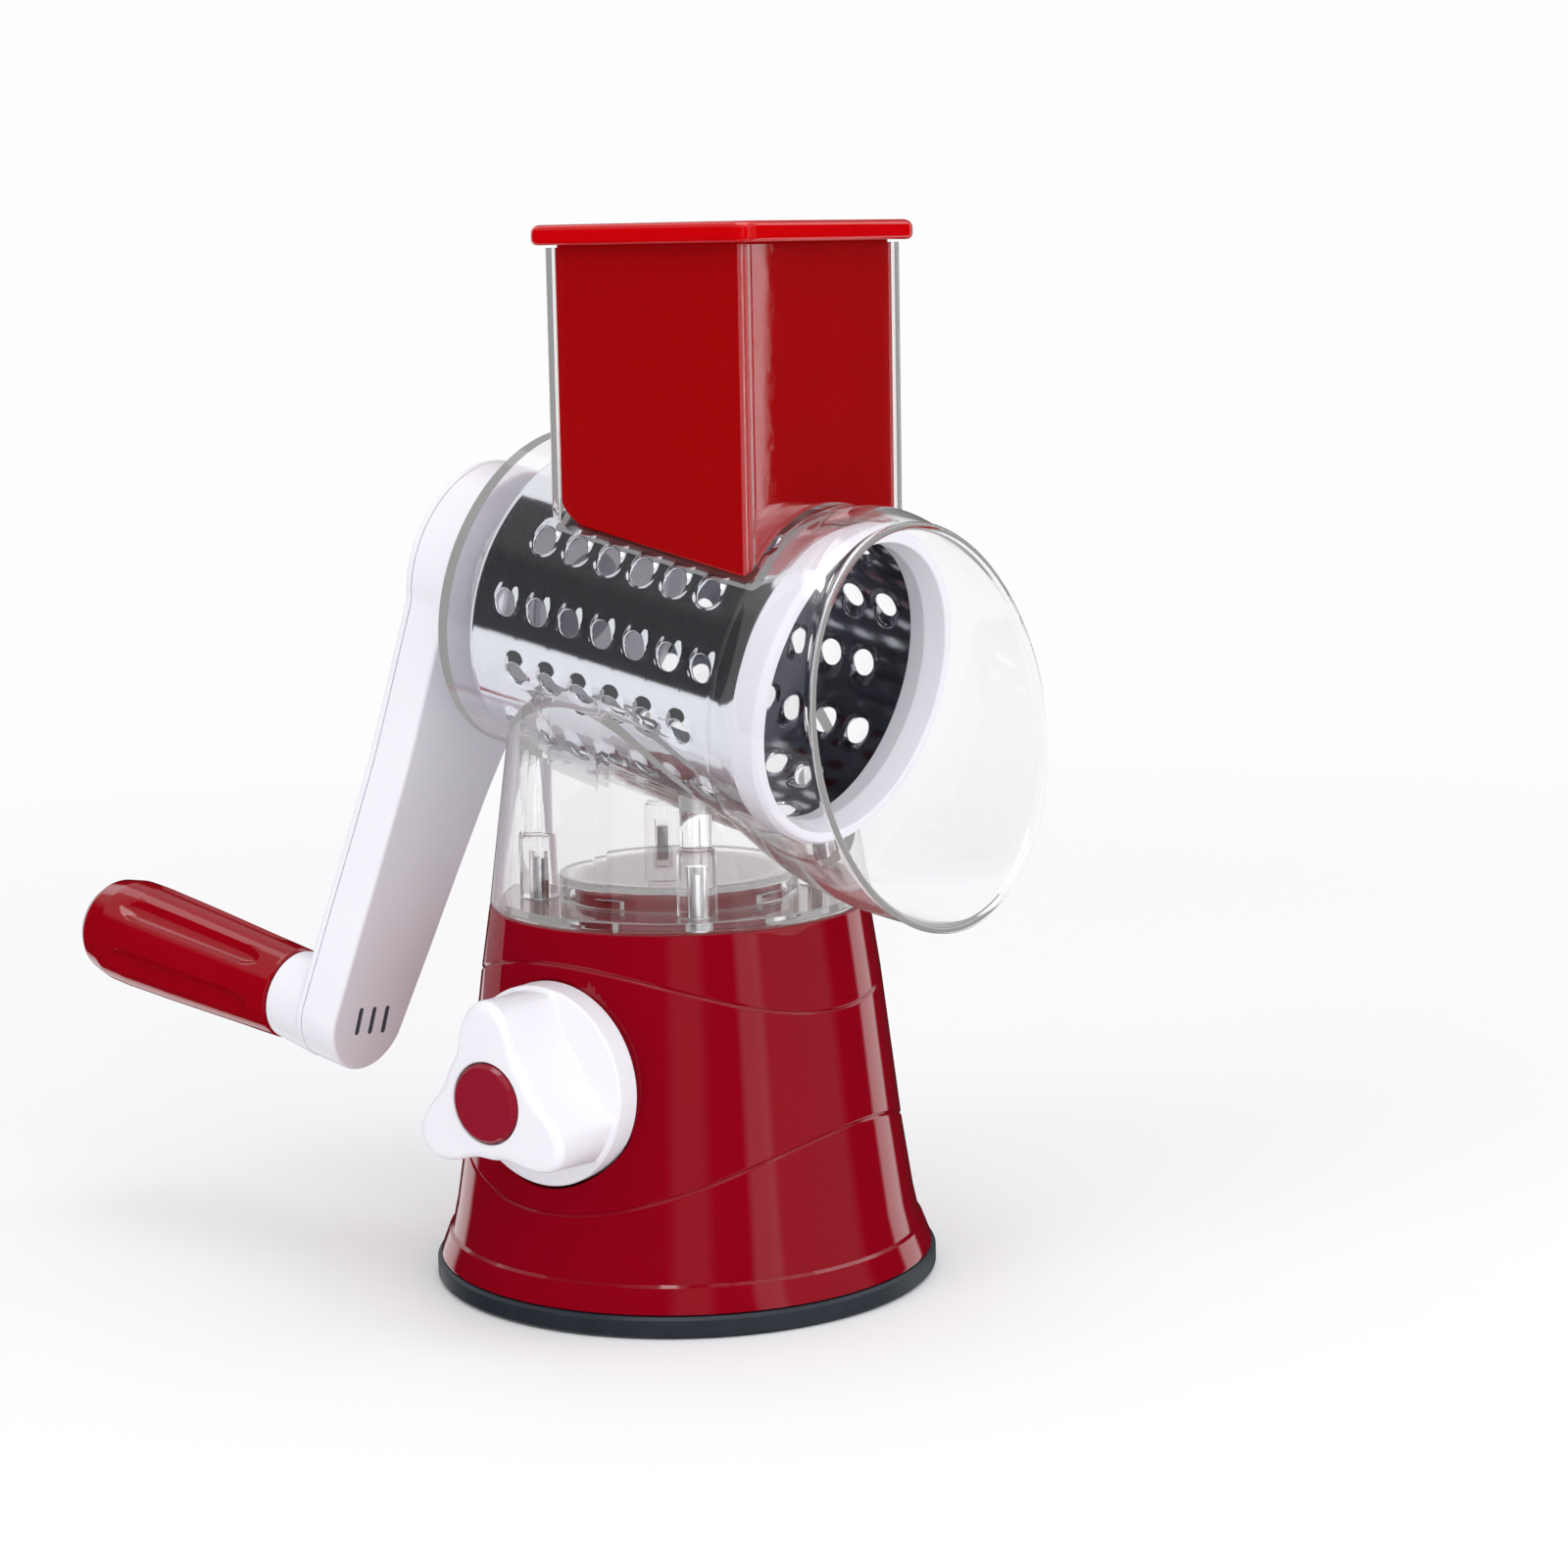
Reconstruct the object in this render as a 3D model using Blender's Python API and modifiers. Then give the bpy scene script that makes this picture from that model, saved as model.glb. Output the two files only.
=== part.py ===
"""Hand-cranked rotary drum slicer on a suction base: every piece at rest, in metres, +Z up.

The origin is the centre of the suction pad's underside. The drum's axis lies in the XZ plane and
slopes down to the mouth at +X; the crank is at -X and the suction knob at -Y.
"""
import math

import bmesh
import bpy
from mathutils import Matrix, Vector

MM = 0.001

# Driving dimensions, in millimetres and degrees.
PAD_RADIUS = 65.0
BASE_TOP = 97.0
KNOB_HEIGHT = 59.3
KNOB_POCKET = 50.0
CAM_THROW = 3.5
AXIS_HEIGHT = 167.0
AXIS_SLOPE = 12.0
DRUM_RADIUS = 39.0
DRUM_REAR = -33.5
DRUM_FRONT = 50.7
DRUM_SIDES = 28
HOLE_RADIUS = 3.3
HOLE_PITCH = 10.4
HOLE_CENTRE = 7.8
HUB_RADIUS = 14.8
HUB_END = -64.0
WALL = 1.9
POST_RADIUS = 36.0
CHUTE_CENTRE = 18.4
CHUTE_HALF_X = 31.1
CHUTE_HALF_Y = 33.2
CHUTE_TOP = 263.0
ARM_LENGTH = 124.3
ARM_LEAN = -16.8
ARM_FRONT = -53.2
ARM_REAR = -67.0
GRIP_LEAN = 2.0

# Rings of the clear barrel and its flared mouth: place on the drum axis, radius, rise, backward tilt.
BARREL_RINGS = [
    (-42.0, 42.3, 0.0, 0.0),
    (44.0, 42.9, 0.0, 0.0),
    (50.0, 44.6, -0.9, 2.0),
    (58.0, 47.1, -2.0, 7.0),
    (68.0, 48.9, -2.8, 13.5),
    (79.4, 49.4, -3.1, 20.2),
    (81.6, 50.0, -3.1, 20.7),
]


def moved(x, y, z):
    return Matrix.Translation((x * MM, y * MM, z * MM))


def turned_about(axis, degrees):
    return Matrix.Rotation(math.radians(degrees), 4, axis)


# Frames. On the drum's axis, local +Z points to the mouth and local +X down.
WORLD = Matrix.Identity(4)
DRUM = moved(0, 0, AXIS_HEIGHT) @ turned_about("Y", 90 + AXIS_SLOPE)
CRANK = DRUM @ turned_about("Z", ARM_LEAN)
GRIP = CRANK @ moved(ARM_LENGTH, 0, (ARM_FRONT + ARM_REAR) / 2) @ turned_about("Y", 180 - GRIP_LEAN)
KNOB = moved(0, 0, KNOB_HEIGHT) @ turned_about("X", 90)


# ---------------------------------------------------------------- scene and materials

def clear_scene():
    for obj in list(bpy.data.objects):
        bpy.data.objects.remove(obj)


def new_collection(name, hidden=False):
    collection = bpy.data.collections.new(name)
    bpy.context.scene.collection.children.link(collection)
    collection.hide_render = hidden
    return collection


def new_material(name, colour, roughness, metallic=0.0, transmission=0.0):
    material = bpy.data.materials.new(name)
    material.use_nodes = True
    shader = material.node_tree.nodes["Principled BSDF"]
    shader.inputs["Base Color"].default_value = (*colour, 1.0)
    shader.inputs["Roughness"].default_value = roughness
    shader.inputs["Metallic"].default_value = metallic
    shader.inputs["Transmission Weight"].default_value = transmission
    material.diffuse_color = (*colour, 1.0)
    return material


def red_plastic(name):
    return new_material(name, (0.45, 0.005, 0.02), 0.22)


def white_plastic(name):
    return new_material(name, (0.85, 0.84, 0.88), 0.35)


def clear_plastic(name):
    return new_material(name, (0.93, 0.93, 0.95), 0.05, transmission=1.0)


def steel(name):
    return new_material(name, (0.62, 0.63, 0.65), 0.18, metallic=1.0)


def black_rubber(name):
    return new_material(name, (0.02, 0.025, 0.03), 0.7)


# ---------------------------------------------------------------- shapes

def new_object(name, mesh, frame, material):
    """A named piece with a material, or a hidden tool for Booleans when the material is None."""
    obj = bpy.data.objects.new(name, mesh)
    obj.matrix_world = frame
    if material is None:
        TOOLS.objects.link(obj)
        obj.hide_render = True
        obj.display_type = "WIRE"
    else:
        PIECES.objects.link(obj)
        mesh.materials.append(material)
    return obj


def turned(name, profile, frame, material=None, sides=24):
    """A solid of revolution about local Z. The profile of (radius, z) runs down the outer side.

    It may start and end on the axis; otherwise it closes on itself as a ring.
    """
    mesh = bpy.data.meshes.new(name)
    points = [(r * MM, 0.0, z * MM) for r, z in profile]
    edges = [(i, i + 1) for i in range(len(points) - 1)]
    if profile[0][0] > 0:
        edges.append((len(points) - 1, 0))
    mesh.from_pydata(points, edges, [])
    obj = new_object(name, mesh, frame, material)
    screw = obj.modifiers.new("Turn", "SCREW")
    screw.axis = "Z"
    screw.steps = sides
    screw.render_steps = sides
    screw.use_merge_vertices = True
    screw.merge_threshold = 0.00001
    screw.use_smooth_shade = False
    return obj


def cylinder(name, radius, z_low, z_high, frame, material=None, sides=24):
    profile = [(0, z_high), (radius, z_high), (radius, z_low), (0, z_low)]
    return turned(name, profile, frame, material, sides)


def prism(name, outline, z_low, z_high, frame, material=None):
    """A flat outline, anticlockwise in local XY, extruded between two local heights."""
    mesh = bpy.data.meshes.new(name)
    count = len(outline)
    low = [(x * MM, y * MM, z_low * MM) for x, y in outline]
    high = [(x * MM, y * MM, z_high * MM) for x, y in outline]
    faces = [tuple(reversed(range(count))), tuple(range(count, 2 * count))]
    for i in range(count):
        j = (i + 1) % count
        faces.append((i, j, count + j, count + i))
    mesh.from_pydata(low + high, [], faces)
    return new_object(name, mesh, frame, material)


def block(name, x_range, y_range, z_range, frame, material=None):
    (x0, x1), (y0, y1) = x_range, y_range
    outline = [(x0, y0), (x1, y0), (x1, y1), (x0, y1)]
    return prism(name, outline, z_range[0], z_range[1], frame, material)


def rounded_rectangle(half_x, half_y, radius, centre_x=0.0, steps=3):
    points = []
    for quarter, (sx, sy) in enumerate([(1, 1), (-1, 1), (-1, -1), (1, -1)]):
        for step in range(steps + 1):
            angle = math.radians(90 * quarter + 90 * step / steps)
            x = centre_x + sx * (half_x - radius) + radius * math.cos(angle)
            y = sy * (half_y - radius) + radius * math.sin(angle)
            points.append((x, y))
    return points


def lofted(name, rings, frame, sides=40):
    """Circles of (place, radius, rise, tilt) along local Z joined by faces and closed at both ends."""
    mesh = bpy.data.meshes.new(name)
    points = []
    for place, radius, rise, tilt in rings:
        ring = moved(-rise, 0, place) @ turned_about("Y", -tilt)
        for side in range(sides):
            angle = 2 * math.pi * side / sides
            point = Vector((math.cos(angle), math.sin(angle), 0)) * radius * MM
            points.append(ring @ point)
    faces = [tuple(reversed(range(sides)))]
    for low in range(0, (len(rings) - 1) * sides, sides):
        for side in range(sides):
            after = (side + 1) % sides
            faces.append((low + side, low + after, low + sides + after, low + sides + side))
    faces.append(tuple(range((len(rings) - 1) * sides, len(rings) * sides)))
    mesh.from_pydata(points, [], faces)
    return new_object(name, mesh, frame, None)


def combine(obj, tool, operation):
    boolean = obj.modifiers.new(f"{operation.title()} {tool.name}", "BOOLEAN")
    boolean.operation = operation
    boolean.solver = "EXACT"
    boolean.object = tool


def cut(obj, *tools):
    for tool in tools:
        combine(obj, tool, "DIFFERENCE")


def join(obj, *tools):
    for tool in tools:
        combine(obj, tool, "UNION")


def diagonal_places(radius):
    """Four places on the diagonals, at this distance from the upright axis."""
    offset = radius / math.sqrt(2)
    return [(offset, offset), (-offset, offset), (-offset, -offset), (offset, -offset)]


# ---------------------------------------------------------------- suction base

def make_suction_pad():
    profile = [(0, 8), (9, 8), (9, 5.5), (64.3, 5.5), (PAD_RADIUS, 4.8), (PAD_RADIUS, 0.8), (64.3, 0), (0, 0)]
    turned("suction_pad", profile, WORLD, black_rubber("pad_rubber"), sides=40)


def make_pad_plate():
    profile = [(56.5, 8.7), (56.5, 6.2), (12, 6.2), (12, 16), (5.5, 16), (5.5, 18.5), (14.4, 18.5),
               (14.4, 8.7)]
    plate = turned("pad_plate", profile, WORLD, white_plastic("plate_white"))
    for number, (x, y) in enumerate(diagonal_places(38)):
        place = moved(x, y, 0)
        cut(plate, cylinder(f"plate_hole_{number}", 1.8, 0, 20, place, sides=12))
        cut(plate, cylinder(f"plate_counterbore_{number}", 3.6, 0, 7.2, place, sides=12))


def make_plate_screws():
    profile = [(0, 18), (1.4, 18), (1.4, 7.0), (3.2, 7.0), (3.2, 6.3), (0, 6.3)]
    for number, (x, y) in enumerate(diagonal_places(38)):
        name = f"plate_screw_{number + 1}"
        turned(name, profile, moved(x, y, 0), steel(f"{name}_steel"), sides=12)


def base_hollow():
    """The inside of the red shell, less the knob's boss and the four screw pillars left standing in it."""
    profile = [(0, 94.4), (46.6, 94.4), (49.0, 79), (55.4, 26), (58.4, 12.5), (61.4, 5), (0, 5)]
    hollow = turned("base_hollow", profile, WORLD, sides=40)
    cut(hollow, cylinder("knob_boss", 28.0, 47.5, 75, KNOB, sides=32))
    for number, (x, y) in enumerate(diagonal_places(38)):
        cut(hollow, cylinder(f"pillar_{number}", 4.2, 9.1, 99, moved(x, y, 0), sides=12))
    return hollow


def make_base_shell():
    profile = [(0, BASE_TOP), (24.1, BASE_TOP), (24.1, 103.2), (26.5, 103.2), (26.5, BASE_TOP),
               (48.4, BASE_TOP), (48.8, 96.6), (51.5, 79), (58.0, 26), (60.9, 12.6), (61.8, 12.0),
               (63.9, 6.5), (63.9, 5.9), (0, 5.9)]
    shell = turned("base_shell", profile, WORLD, red_plastic("base_red"), sides=40)
    cut(shell, base_hollow())
    cut(shell, cylinder("knob_pocket", 25.9, KNOB_POCKET, 80, KNOB, sides=32))
    cut(shell, cylinder("shaft_hole", 4.6, 40, 55, KNOB, sides=24))
    for number, (x, y) in enumerate(diagonal_places(38)):
        cut(shell, cylinder(f"pillar_bore_{number}", 1.7, 5, 24, moved(x, y, 0), sides=12))
    for number in range(4):
        turn = turned_about("Z", 90 * number)
        join(shell, block(f"collar_lug_{number}", (25.5, 28.2), (-4, 4), (101.5, 103.0), turn))


def make_cam_frame():
    frame = block("cam_frame", (-12, 12), (-20, 20), (38, 41), WORLD, white_plastic("frame_white"))
    for side in (-1, 1):
        cheek_y = sorted((side * 17, side * 20))
        foot_y = sorted((side * 17, side * 26))
        join(frame, block(f"cheek_{side}", (-12.5, 12.5), cheek_y, (9.0, 70), WORLD))
        join(frame, block(f"foot_{side}", (-15, 15), foot_y, (9.0, 11.2), WORLD))
    cut(frame, cylinder("frame_stem_hole", 5.5, 30, 50, WORLD, sides=16))
    cut(frame, cylinder("frame_shaft_hole", 4.4, -30, 30, KNOB))


def cam_offset():
    """The cam's centre at rest, as equal parts forward and down from the shaft's axis."""
    return CAM_THROW / math.sqrt(2)


def make_lift_stem():
    profile = [(0, 47), (5, 47), (5, 21.3), (8, 21.3), (8, 19.3), (5, 19.3), (5, 10.3), (8, 10.3), (8, 8.3),
               (0, 8.3)]
    stem = turned("lift_stem", profile, WORLD, white_plastic("stem_white"), sides=16)
    cam_height = KNOB_HEIGHT - cam_offset()
    join(stem, block("yoke", (-15.5, 15.5), (-4, 4), (45.2, 69), WORLD))
    cut(stem, block("yoke_window", (-12.4, 12.4), (-6, 6), (cam_height - 8.4, cam_height + 8.4), WORLD))


def make_return_spring():
    """A wire coil round the stem, between its collar and the frame's crossbar."""
    turns, per_turn, coil_radius, wire = 5, 12, 6.9, 0.6
    low, high = 22.0, 37.2
    curve = bpy.data.curves.new("return_spring_path", "CURVE")
    curve.dimensions = "3D"
    path = curve.splines.new("POLY")
    count = turns * per_turn
    path.points.add(count)
    for step in range(count + 1):
        angle = 2 * math.pi * step / per_turn
        height = low + (high - low) * step / count
        point = (coil_radius * math.cos(angle), coil_radius * math.sin(angle), height)
        path.points[step].co = (*(value * MM for value in point), 1.0)
    curve.bevel_depth = wire * MM
    curve.bevel_resolution = 1
    curve.use_fill_caps = True
    guide = bpy.data.objects.new("return_spring_guide", curve)
    TOOLS.objects.link(guide)
    guide.hide_render = True
    mesh = mesh_of_curve(guide, "return_spring")
    new_object("return_spring", mesh, WORLD, steel("spring_steel"))


def mesh_of_curve(guide, name):
    """The curve's own tube as a closed mesh."""
    mesh = bpy.data.meshes.new_from_object(guide.evaluated_get(bpy.context.evaluated_depsgraph_get()))
    mesh.name = name
    shape = bmesh.new()
    shape.from_mesh(mesh)
    bmesh.ops.remove_doubles(shape, verts=shape.verts, dist=0.000001)
    bmesh.ops.recalc_face_normals(shape, faces=shape.faces)
    shape.to_mesh(mesh)
    shape.free()
    mesh.materials.clear()
    return mesh


# ---------------------------------------------------------------- knob and its shaft

def make_cam_shaft():
    profile = [(0, 70), (4, 70), (4, 46.8), (6.5, 46.8), (6.5, 44), (4, 44),
               (4, -20.4), (6.0, -20.4), (6.0, -22.6), (0, -22.6)]
    shaft = turned("cam_shaft", profile, KNOB, steel("shaft_steel"), sides=16)
    offset = cam_offset()
    join(shaft, cylinder("cam_disc", 8.0, -3.5, 3.5, KNOB @ moved(offset, -offset, 0)))
    cut(shaft, cylinder("shaft_thread", 1.8, 61.5, 75, KNOB, sides=12))


def knob_outline():
    """The three-lobed handle: a round waist with a lobe every 120 degrees."""
    waist, lobe, first_lobe = 14.2, 11.3, 92
    points = []
    for angle in range(0, 360, 10):
        swell = (0.5 + 0.5 * math.cos(math.radians(3 * (angle - first_lobe)))) ** 2
        radius = waist + lobe * swell
        points.append((radius * math.cos(math.radians(angle)), radius * math.sin(math.radians(angle))))
    return points


def make_suction_knob():
    profile = [(0, 58), (19, 58), (23, 57), (25.2, 54.5), (25.2, 50.4), (0, 50.4)]
    knob = turned("suction_knob", profile, KNOB, white_plastic("knob_white"), sides=36)
    handle = prism("knob_handle", knob_outline(), 54, 77.6, KNOB)
    join(knob, handle)
    cut(knob, cylinder("knob_bore", 4.35, 40, 70.3, KNOB))
    cut(knob, cylinder("knob_screw_hole", 1.8, 60, 74, KNOB, sides=12))
    cut(knob, cylinder("knob_screw_recess", 4.2, 72.5, 80, KNOB))
    cut(knob, cylinder("knob_cap_recess", 10.2, 75.1, 80, KNOB))


def make_knob_screw():
    profile = [(0, 74.8), (2.4, 74.8), (3.5, 73.9), (3.5, 72.8), (1.4, 72.8), (1.4, 62), (0, 62)]
    turned("knob_screw", profile, KNOB, steel("knob_screw_steel"), sides=12)


def make_knob_cap():
    profile = [(0, 78.7), (8.6, 78.6), (9.5, 78.2), (9.85, 77.5), (9.85, 75.4), (0, 75.4)]
    turned("knob_cap", profile, KNOB, red_plastic("cap_red"))


# ---------------------------------------------------------------- clear body and pusher

def barrel_shape(name, first_place, shrink, overrun):
    """The barrel and mouth as one solid, shrunk by a wall and run past the rim when it is the hollow."""
    rings = [(first_place, BARREL_RINGS[0][1] - shrink, 0.0, 0.0)]
    for place, radius, rise, tilt in BARREL_RINGS[1:]:
        rings.append((place, radius - shrink, rise, tilt))
    place, radius, rise, tilt = rings[-1]
    if overrun:
        rings.append((place + overrun, radius, rise, tilt))
    return lofted(name, rings, DRUM)


def make_clear_body():
    skirt = [(41.0, 156), (48.6, 97.9), (48.2, 97.4), (46.4, 97.4), (38.9, 156)]
    body = turned("clear_body", skirt, WORLD, clear_plastic("body_clear"), sides=40)
    for number, (x, y) in enumerate(diagonal_places(POST_RADIUS)):
        place = moved(x, y, 0)
        join(body, cylinder(f"post_{number}", 4.4, 110, 140, place, sides=12))
        join(body, cylinder(f"post_foot_{number}", 5.0, 99.7, 115.5, place, sides=12))
    join(body, barrel_shape("barrel", BARREL_RINGS[0][0], 0, 0))
    chute = rounded_rectangle(CHUTE_HALF_X, CHUTE_HALF_Y, 3.0, CHUTE_CENTRE)
    join(body, prism("chute", chute, 175, CHUTE_TOP, WORLD))
    cut(body, barrel_shape("barrel_hollow", -39.9, WALL, 8))
    hollow = rounded_rectangle(CHUTE_HALF_X - 2, CHUTE_HALF_Y - 2, 1.6, CHUTE_CENTRE)
    cut(body, prism("chute_hollow", hollow, 172, CHUTE_TOP + 10, WORLD))
    join(body, cylinder("bearing_collar", 20.2, -51.2, -41, DRUM, sides=32))
    cut(body, cylinder("bearing_bore", 17.6, -60, -30, DRUM, sides=32))
    for number, (x, y) in enumerate(diagonal_places(POST_RADIUS)):
        cut(body, cylinder(f"post_bore_{number}", 1.8, 95, 112, moved(x, y, 0), sides=12))


def make_neck_plate():
    """The housing's clear floor: a plate with the cup that locks on the base's collar by four tabs."""
    profile = [(0, 105.5), (30.7, 105.5), (30.7, 99.4), (45.8, 99.4), (46.0, 97.4), (28.7, 97.4),
               (28.7, 103.6), (0, 103.6)]
    plate = turned("neck_plate", profile, WORLD, clear_plastic("plate_clear"), sides=40)
    for number in range(4):
        turn = turned_about("Z", 90 * number)
        join(plate, block(f"plate_tab_{number}", (26.9, 29.5), (-4, 4), (98.0, 101.2), turn))
    for number, (x, y) in enumerate(diagonal_places(POST_RADIUS)):
        cut(plate, cylinder(f"screw_hole_{number}", 1.8, 95, 102, moved(x, y, 0), sides=12))
        cut(plate, cylinder(f"screw_recess_{number}", 3.2, 95, 98.7, moved(x, y, 0), sides=12))


def make_neck_screws():
    profile = [(0, 110.0), (1.5, 110.0), (1.5, 98.5), (2.9, 98.5), (2.9, 97.5), (0, 97.5)]
    for number, (x, y) in enumerate(diagonal_places(POST_RADIUS)):
        name = f"neck_screw_{number + 1}"
        turned(name, profile, moved(x, y, 0), steel(f"{name}_steel"), sides=12)


def make_pusher():
    half_x = CHUTE_HALF_X - 2.4
    half_y = CHUTE_HALF_Y - 2.4
    outer = rounded_rectangle(half_x, half_y, 1.6, CHUTE_CENTRE)
    inner = rounded_rectangle(half_x - 2, half_y - 2, 1.0, CHUTE_CENTRE)
    flange = rounded_rectangle(CHUTE_HALF_X + 2.9, CHUTE_HALF_Y + 2.9, 4.5, CHUTE_CENTRE)
    pusher = prism("pusher", outer, 172, 266, WORLD, red_plastic("pusher_red"))
    join(pusher, prism("pusher_flange", flange, 263.6, 268.5, WORLD))
    cut(pusher, cylinder("pusher_sweep", DRUM_RADIUS + 3.0, -90, 90, DRUM, sides=48))
    cut(pusher, pusher_hollow(inner))


def pusher_hollow(outline):
    """The open inside, its floor following the curved underside."""
    hollow = prism("pusher_hollow", outline, 165, 275, WORLD)
    cut(hollow, cylinder("pusher_floor", DRUM_RADIUS + 5.0, -90, 90, DRUM, sides=48))
    return hollow


def make_hub_bush():
    profile = [(20.4, -37.7), (20.4, -39.5), (17.25, -39.5), (17.25, -51.6), (15.25, -51.6), (15.25, -37.7)]
    turned("hub_bush", profile, DRUM, white_plastic("bush_white"))


# ---------------------------------------------------------------- drum

def hole_pins():
    """One short pin for each hole: rows of seven and six by turns, each centred on a flat of the drum."""
    shape = bmesh.new()
    for row in range(DRUM_SIDES // 2):
        count = 7 if row % 2 == 0 else 6
        turn = turned_about("Z", (2 * row + 0.5) * 360 / DRUM_SIDES)
        for hole in range(count):
            place = HOLE_CENTRE + (hole - (count - 1) / 2) * HOLE_PITCH
            matrix = turn @ moved(DRUM_RADIUS, 0, place) @ turned_about("Y", 90)
            bmesh.ops.create_cone(shape, cap_ends=True, segments=8, radius1=HOLE_RADIUS * MM,
                                  radius2=HOLE_RADIUS * MM, depth=8 * MM, matrix=matrix)
    mesh = bpy.data.meshes.new("hole_pins")
    shape.to_mesh(mesh)
    shape.free()
    return new_object("hole_pins", mesh, DRUM, None)


def make_drum_sleeve():
    inner = DRUM_RADIUS - 0.8
    profile = [(DRUM_RADIUS, DRUM_FRONT), (DRUM_RADIUS, DRUM_REAR), (inner, DRUM_REAR), (inner, DRUM_FRONT)]
    sleeve = turned("drum_sleeve", profile, DRUM, steel("drum_steel"), sides=DRUM_SIDES)
    cut(sleeve, hole_pins())


def make_drum_front_ring():
    seat = DRUM_RADIUS - 1.15
    profile = [(39.6, 58.6), (40.4, 57.8), (40.4, 51.0), (seat, 51.0), (seat, 48.2), (36.0, 48.2),
               (35.4, 53.0), (37.0, 58.6)]
    turned("drum_front_ring", profile, DRUM, white_plastic("ring_white"), sides=DRUM_SIDES)


def make_drum_rear_disc():
    seat = DRUM_RADIUS - 1.15
    profile = [(seat, -25.0), (seat, -32.6), (16.8, -32.6), (16.8, -37.3), (15.15, -37.3), (15.15, -30.2),
               (seat - 2.2, -30.2), (seat - 2.2, -25.0)]
    turned("drum_rear_disc", profile, DRUM, white_plastic("disc_white"), sides=DRUM_SIDES)


def make_drum_hub():
    inner = HUB_RADIUS - 2.0
    profile = [(18.5, -28.0), (18.5, -29.9), (HUB_RADIUS, -29.9), (HUB_RADIUS, HUB_END), (inner, HUB_END),
               (inner, -28.0)]
    hub = turned("drum_hub", profile, DRUM, white_plastic("hub_white"))
    cut(hub, block("hub_drive_slot", (-20, 20), (-2, 2), (HUB_END - 1, HUB_END + 7), CRANK))
    cut(hub, block("hub_latch_window", (-2.6, 2.6), (0, 20), (-50.2, -48.0), CRANK))


# ---------------------------------------------------------------- crank and grip

def arm_outline(inset):
    """The arm's face: a round head on the drum's axis, narrowing to a round end at the grip."""
    head, end, end_place = 28.0 - inset, 14.2 - inset, ARM_LENGTH - 1.0
    flank = [(50, 18.9 - inset), (100, 15.7 - inset)]
    points = [(x, -half) for x, half in flank]
    for step in range(9):
        angle = math.radians(-80 + 20 * step)
        points.append((end_place + end * math.cos(angle), end * math.sin(angle)))
    points += [(x, half) for x, half in reversed(flank)]
    for step in range(15):
        angle = math.radians(62 + 236 * step / 14)
        points.append((head * math.cos(angle), head * math.sin(angle)))
    return points


def make_crank_arm():
    """The arm's front half: face and side walls, the drum's socket, the grip spindle's boss, three slots."""
    arm = prism("crank_arm", arm_outline(0), ARM_REAR + 2.3, ARM_FRONT, CRANK, white_plastic("arm_white"))
    hollow = prism("arm_hollow", arm_outline(2.4), ARM_REAR, ARM_FRONT - 2.4, CRANK)
    cut(hollow, cylinder("socket_wall", 17.6, ARM_REAR + 3, ARM_FRONT + 5, CRANK, sides=32))
    cut(hollow, cylinder("spindle_boss", 6.5, -15, 20, GRIP, sides=16))
    cut(arm, hollow)
    cut(arm, cylinder("socket", HUB_RADIUS + 0.35, ARM_REAR - 5, ARM_FRONT + 5, CRANK, sides=32))
    cut(arm, cylinder("spindle_seat", 3.3, -3.5, 20, GRIP, sides=16))
    for number in range(3):
        slot = CRANK @ moved(ARM_LENGTH - 0.8 * number, 5.1 * number - 4.3, 0) @ turned_about("Z", 20)
        cut(arm, block(f"arm_slot_{number}", (-3.8, 3.8), (-0.6, 0.6), (ARM_FRONT - 2.6, -50), slot))


def make_arm_cover():
    """The arm's rear half: a plate with the drive dog that turns the drum and the grip's collar."""
    cover = prism("arm_cover", arm_outline(0), ARM_REAR, ARM_REAR + 2.0, CRANK, white_plastic("cover_white"))
    join(cover, cylinder("drive_core", HUB_RADIUS - 2.4, ARM_REAR + 1, -57.5, CRANK, sides=32))
    join(cover, block("drive_dog", (-14.3, 14.3), (-1.7, 1.7), (ARM_REAR + 1, -57.5), CRANK))
    join(cover, turned("grip_collar", [(0, 19.6), (12.0, 19.6), (13.2, 5.5), (0, 5.5)], GRIP, sides=24))
    cut(cover, cylinder("collar_bore", 3.35, 0, 25, GRIP, sides=16))


def make_grip_spindle():
    profile = [(0, 84.4), (3, 84.4), (3, -3.0), (0, -3.0)]
    spindle = turned("grip_spindle", profile, GRIP, steel("spindle_steel"), sides=16)
    cut(spindle, cylinder("spindle_thread", 1.6, 73, 90, GRIP, sides=12))


def make_spindle_screw():
    profile = [(0, 87.1), (4.0, 87.1), (5.4, 86.2), (5.4, 84.9), (1.3, 84.9), (1.3, 74), (0, 74)]
    turned("spindle_screw", profile, GRIP, steel("spindle_screw_steel"), sides=12)


def make_grip():
    profile = [(9.95, 91.0), (11.2, 90.2), (13.4, 87.0), (14.4, 82.0), (14.5, 74), (14.0, 58), (12.4, 21.0),
               (11.9, 20.0), (3.45, 20.0), (3.45, 84.6), (9.95, 84.6)]
    grip = turned("grip", profile, GRIP, red_plastic("grip_red"), sides=24)
    for number in range(6):
        lean = math.degrees(math.atan2(1.9, 50))
        flute = GRIP @ turned_about("Z", 60 * number) @ moved(15.4, 0, 52) @ turned_about("Y", lean)
        cut(grip, cylinder(f"flute_{number}", 2.6, -24, 24, flute, sides=12))


def make_grip_plug():
    profile = [(0, 92.4), (5.5, 92.2), (9.6, 91.2), (9.6, 87.6), (0, 87.6)]
    turned("grip_plug", profile, GRIP, red_plastic("plug_red"))


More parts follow.
